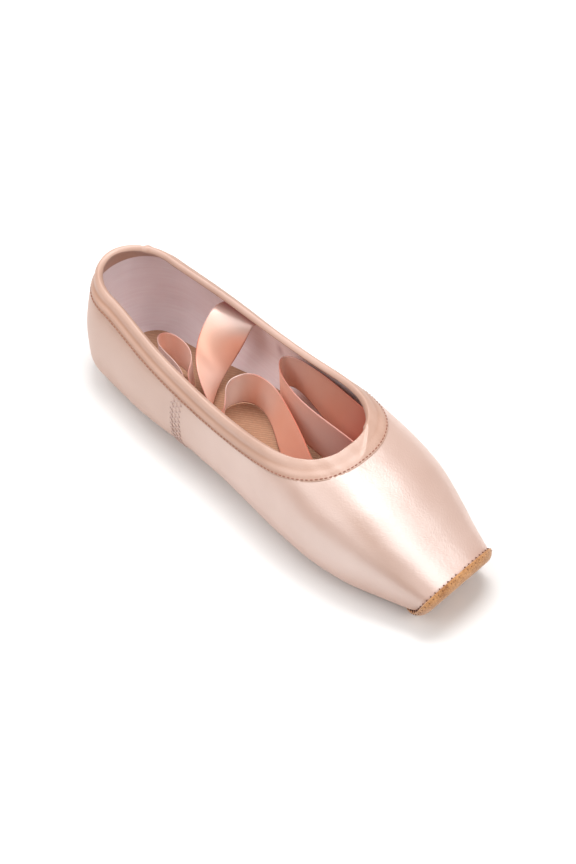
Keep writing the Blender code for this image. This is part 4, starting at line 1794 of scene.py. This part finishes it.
@dataclass
class Ribbon:
    """A satin ribbon, folded and stood on its edge inside the shoe.

    Attributes:
        last: the last.
        name: name of the piece.
        node: the CAD node that it stands for.
        folds: the places that its middle passes.
        gleams: the painted highlights on the bends that catch the light.
        toe_shade: share of the deep colour inside the toe, painted shade.
        toe_shade_run: X where that share starts and where it is whole.
        root_shadow_depth: share of the deep colour at its first end, a painted shadow under the casing.
        root: how far that share reaches.
        edge_shade_depth: share of the deep colour on its two edges, painted shade over the light that they
            catch.
        edge_shade: width of those edges.
        width: width of the ribbon.
        thick: thickness of the ribbon.
        rows_per_fold: rows of the mesh for each row of the table.
        columns: columns of the mesh.
    """

    last: Last
    name: str
    node: str
    folds: tuple[Fold, ...]
    gleams: tuple[Gleam, ...]
    toe_shade: float
    toe_shade_run: tuple[float, float] = (-0.005, 0.045)
    root_shadow_depth: float = 0.0
    root: float = 0.006
    edge_shade_depth: float = 0.75
    edge_shade: float = 0.0004
    width: float = 0.021
    thick: float = 0.0003
    rows_per_fold: int = 14
    columns: int = 24

    def shade(self, points: np.ndarray, lengths: np.ndarray, share: np.ndarray) -> np.ndarray:
        """Share of the deep colour, all painted: shade on the two edges, a shadow under the casing at the
        root, and shade inside the toe.

        Args:
            points: the ribbon's points by rows and columns.
            lengths: place of each row along the ribbon.
            share: place of each column across it, 0 in the middle.

        Returns:
            The share at each row and column.
        """
        # Painted shade on the edges, painted shadow at the root and painted shade inside the toe
        edge_shade = self.edge_shade_depth * (np.abs(share) > self.width / 2 - self.edge_shade)[None]
        root = self.root_shadow_depth * bell(lengths, self.root)[:, None]
        toe_shade = self.toe_shade * ramp(points[..., 0], *self.toe_shade_run)
        return np.maximum(np.maximum(edge_shade, root), toe_shade)

    def gleam(self, places: np.ndarray, share: np.ndarray) -> np.ndarray:
        """Share of the pale colour at each row, a painted highlight, a little less towards the edges.

        Args:
            places: place of each row in the table of folds.
            share: place of each column across the ribbon.

        Returns:
            The share at each row and column.
        """
        spots = [spot.share * bell(places - spot.fold, spot.reach) for spot in self.gleams]
        return np.max(spots, axis=0)[:, None] * (0.75 + 0.25 * np.cos(math.pi * share / self.width))[None]

    def build(self) -> bpy.types.Object:
        """Makes the ribbon as a sheet of cloth at its real cut size."""
        size = self.last.size
        places = np.linspace(0, len(self.folds) - 1, (len(self.folds) - 1) * self.rows_per_fold + 1)
        numbers = list(range(len(self.folds)))
        along, across, height, lean, toward = (
            Spline(numbers, [getattr(fold, column) for fold in self.folds])(places) for column in Fold._fields
        )
        middle = np.stack(
            ((along - 0.5) * size.length, across * size.ball_width / 2, height * size.side_height), -1
        )
        lean, toward = np.radians(lean), np.radians(toward)
        up = np.stack((np.sin(lean) * np.cos(toward), np.sin(lean) * np.sin(toward), np.cos(lean)), -1)
        share = np.linspace(-0.5, 0.5, self.columns + 1) * self.width
        points = middle[:, None] + up[:, None] * share[None, :, None]
        lengths = arc_lengths(middle)
        flat = np.stack(np.broadcast_arrays(lengths[:, None], share[None]), -1)
        piece = woven_sheet(
            self.name,
            points,
            flat,
            self.thick,
            0,
            flip=False,
            shade=self.shade(points, lengths, share),
            gleam=self.gleam(places, share),
        )
        dress(piece, RIBBON.material(), Slot.RIBBON, self.node)
        log.info("%s: %.0f mm long", self.name, lengths[-1] * 1000)
        return piece


@dataclass(frozen=True)
class Camera:
    """The camera at the photograph's angle, as fitted to the shoe's outline.

    Attributes:
        place: where it stands.
        right: its right.
        up: its up.
        ahead: the way it looks.
        lens: focal length, in mm.
        film: height of the film, in mm.
        shift: shift of the picture, in shares of its height.
    """

    place: tuple[float, float, float] = (0.3699, -0.3160, 0.6070)
    right: tuple[float, float, float] = (0.69972, 0.71437, -0.00889)
    up: tuple[float, float, float] = (-0.53742, 0.53452, 0.65228)
    ahead: tuple[float, float, float] = (-0.47072, 0.45164, -0.75792)
    lens: float = 69.78
    film: float = 36.0
    shift: tuple[float, float] = (-0.0573, -0.0405)

    def build(self) -> None:
        """Adds the camera and makes it the scene's."""
        camera = bpy.data.objects.new("camera", bpy.data.cameras.new("camera"))
        camera.data.sensor_fit = "VERTICAL"
        camera.data.sensor_height = self.film
        camera.data.lens = self.lens
        camera.data.shift_x, camera.data.shift_y = self.shift
        axes = Matrix((self.right, self.up, tuple(-a for a in self.ahead))).transposed()
        camera.matrix_world = Matrix.Translation(self.place) @ axes.to_4x4()
        bpy.context.scene.collection.objects.link(camera)
        bpy.context.scene.camera = camera


@dataclass(frozen=True)
class Softbox:
    """A soft studio light that faces the shoe.

    Attributes:
        name: name of the light.
        place: where it hangs.
        size: its width and height.
        power: its power, in watts.
        colour: its colour.
    """

    name: str
    place: tuple[float, float, float]
    size: tuple[float, float]
    power: float
    colour: str = "#FFFFFF"

    def build(self) -> None:
        """Adds the light."""
        data = bpy.data.lights.new(self.name, "AREA")
        data.shape = "RECTANGLE"
        data.size, data.size_y = self.size
        data.energy = self.power
        data.color = linear(self.colour)[:3]
        light = bpy.data.objects.new(self.name, data)
        light.matrix_world = Matrix.Translation(self.place)
        aim = -Vector(self.place)
        light.rotation_euler = aim.to_track_quat("-Z", "Y").to_euler()
        bpy.context.scene.collection.objects.link(light)


@dataclass
class Studio:
    """A plain pale floor, soft lights and the camera.

    Attributes:
        floor_size: side of the floor.
        sky: strength of the even light from all round.
        boxes: the lights. The one overhead makes the glow along the box, the one at the near left lights
            the side and the lining, the one at the rear left reaches into the shoe, and the one in front
            lights the suede.
    """

    floor_size: float = 6.0
    sky: float = 0.38
    boxes: tuple[Softbox, ...] = (
        Softbox("overhead", (-0.15, 0.27, 1.05), (0.55, 0.4), 7.6),
        Softbox("near_left", (-0.30, -0.85, 1.1), (0.9, 0.7), 5.2),
        Softbox("rear_left", (-0.55, -0.15, 0.85), (0.4, 0.4), 2.5),
        Softbox("front", (0.85, 0.10, 0.75), (0.5, 0.5), 3.5),
    )

    def build(self) -> None:
        """Sets the studio up."""
        deselect()
        bpy.ops.mesh.primitive_plane_add(size=self.floor_size)
        floor = bpy.context.object
        floor.name = "studio_floor"
        material, _, shader = new_material("pale_floor")
        shader.inputs["Base Color"].default_value = linear("#F4F3F2")
        shader.inputs["Roughness"].default_value = 0.9
        floor.data.materials.append(material)
        world = bpy.data.worlds.new("studio")
        world.use_nodes = True
        sky = world.node_tree.nodes["Background"]
        sky.inputs["Color"].default_value = linear("#FFFFFF")
        sky.inputs["Strength"].default_value = self.sky
        bpy.context.scene.world = world
        bpy.context.scene.view_settings.view_transform = "Standard"
        for box in self.boxes:
            box.build()
        Camera().build()


def main() -> None:
    """Builds the shoe's looks piece by piece, and the studio round it."""
    logging.basicConfig(level=logging.INFO, format="%(name)s %(message)s")
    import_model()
    last = Last(LastSizes(), Along())
    Upper(last).build()
    Footing(last).build()
    Casing(last).build()
    SideSeam(last).build()
    PlatformPatch(last).build()
    Ribbon(last, "right_ribbon", "ribbon_right", RIBBON_RIGHT, GLEAMS_RIGHT, toe_shade=1.0).build()
    Ribbon(
        last, "left_ribbon", "ribbon_left", RIBBON_LEFT, GLEAMS_LEFT, toe_shade=0.55, root_shadow_depth=1.0
    ).build()
    Studio().build()


if __name__ == "__main__":
    main()
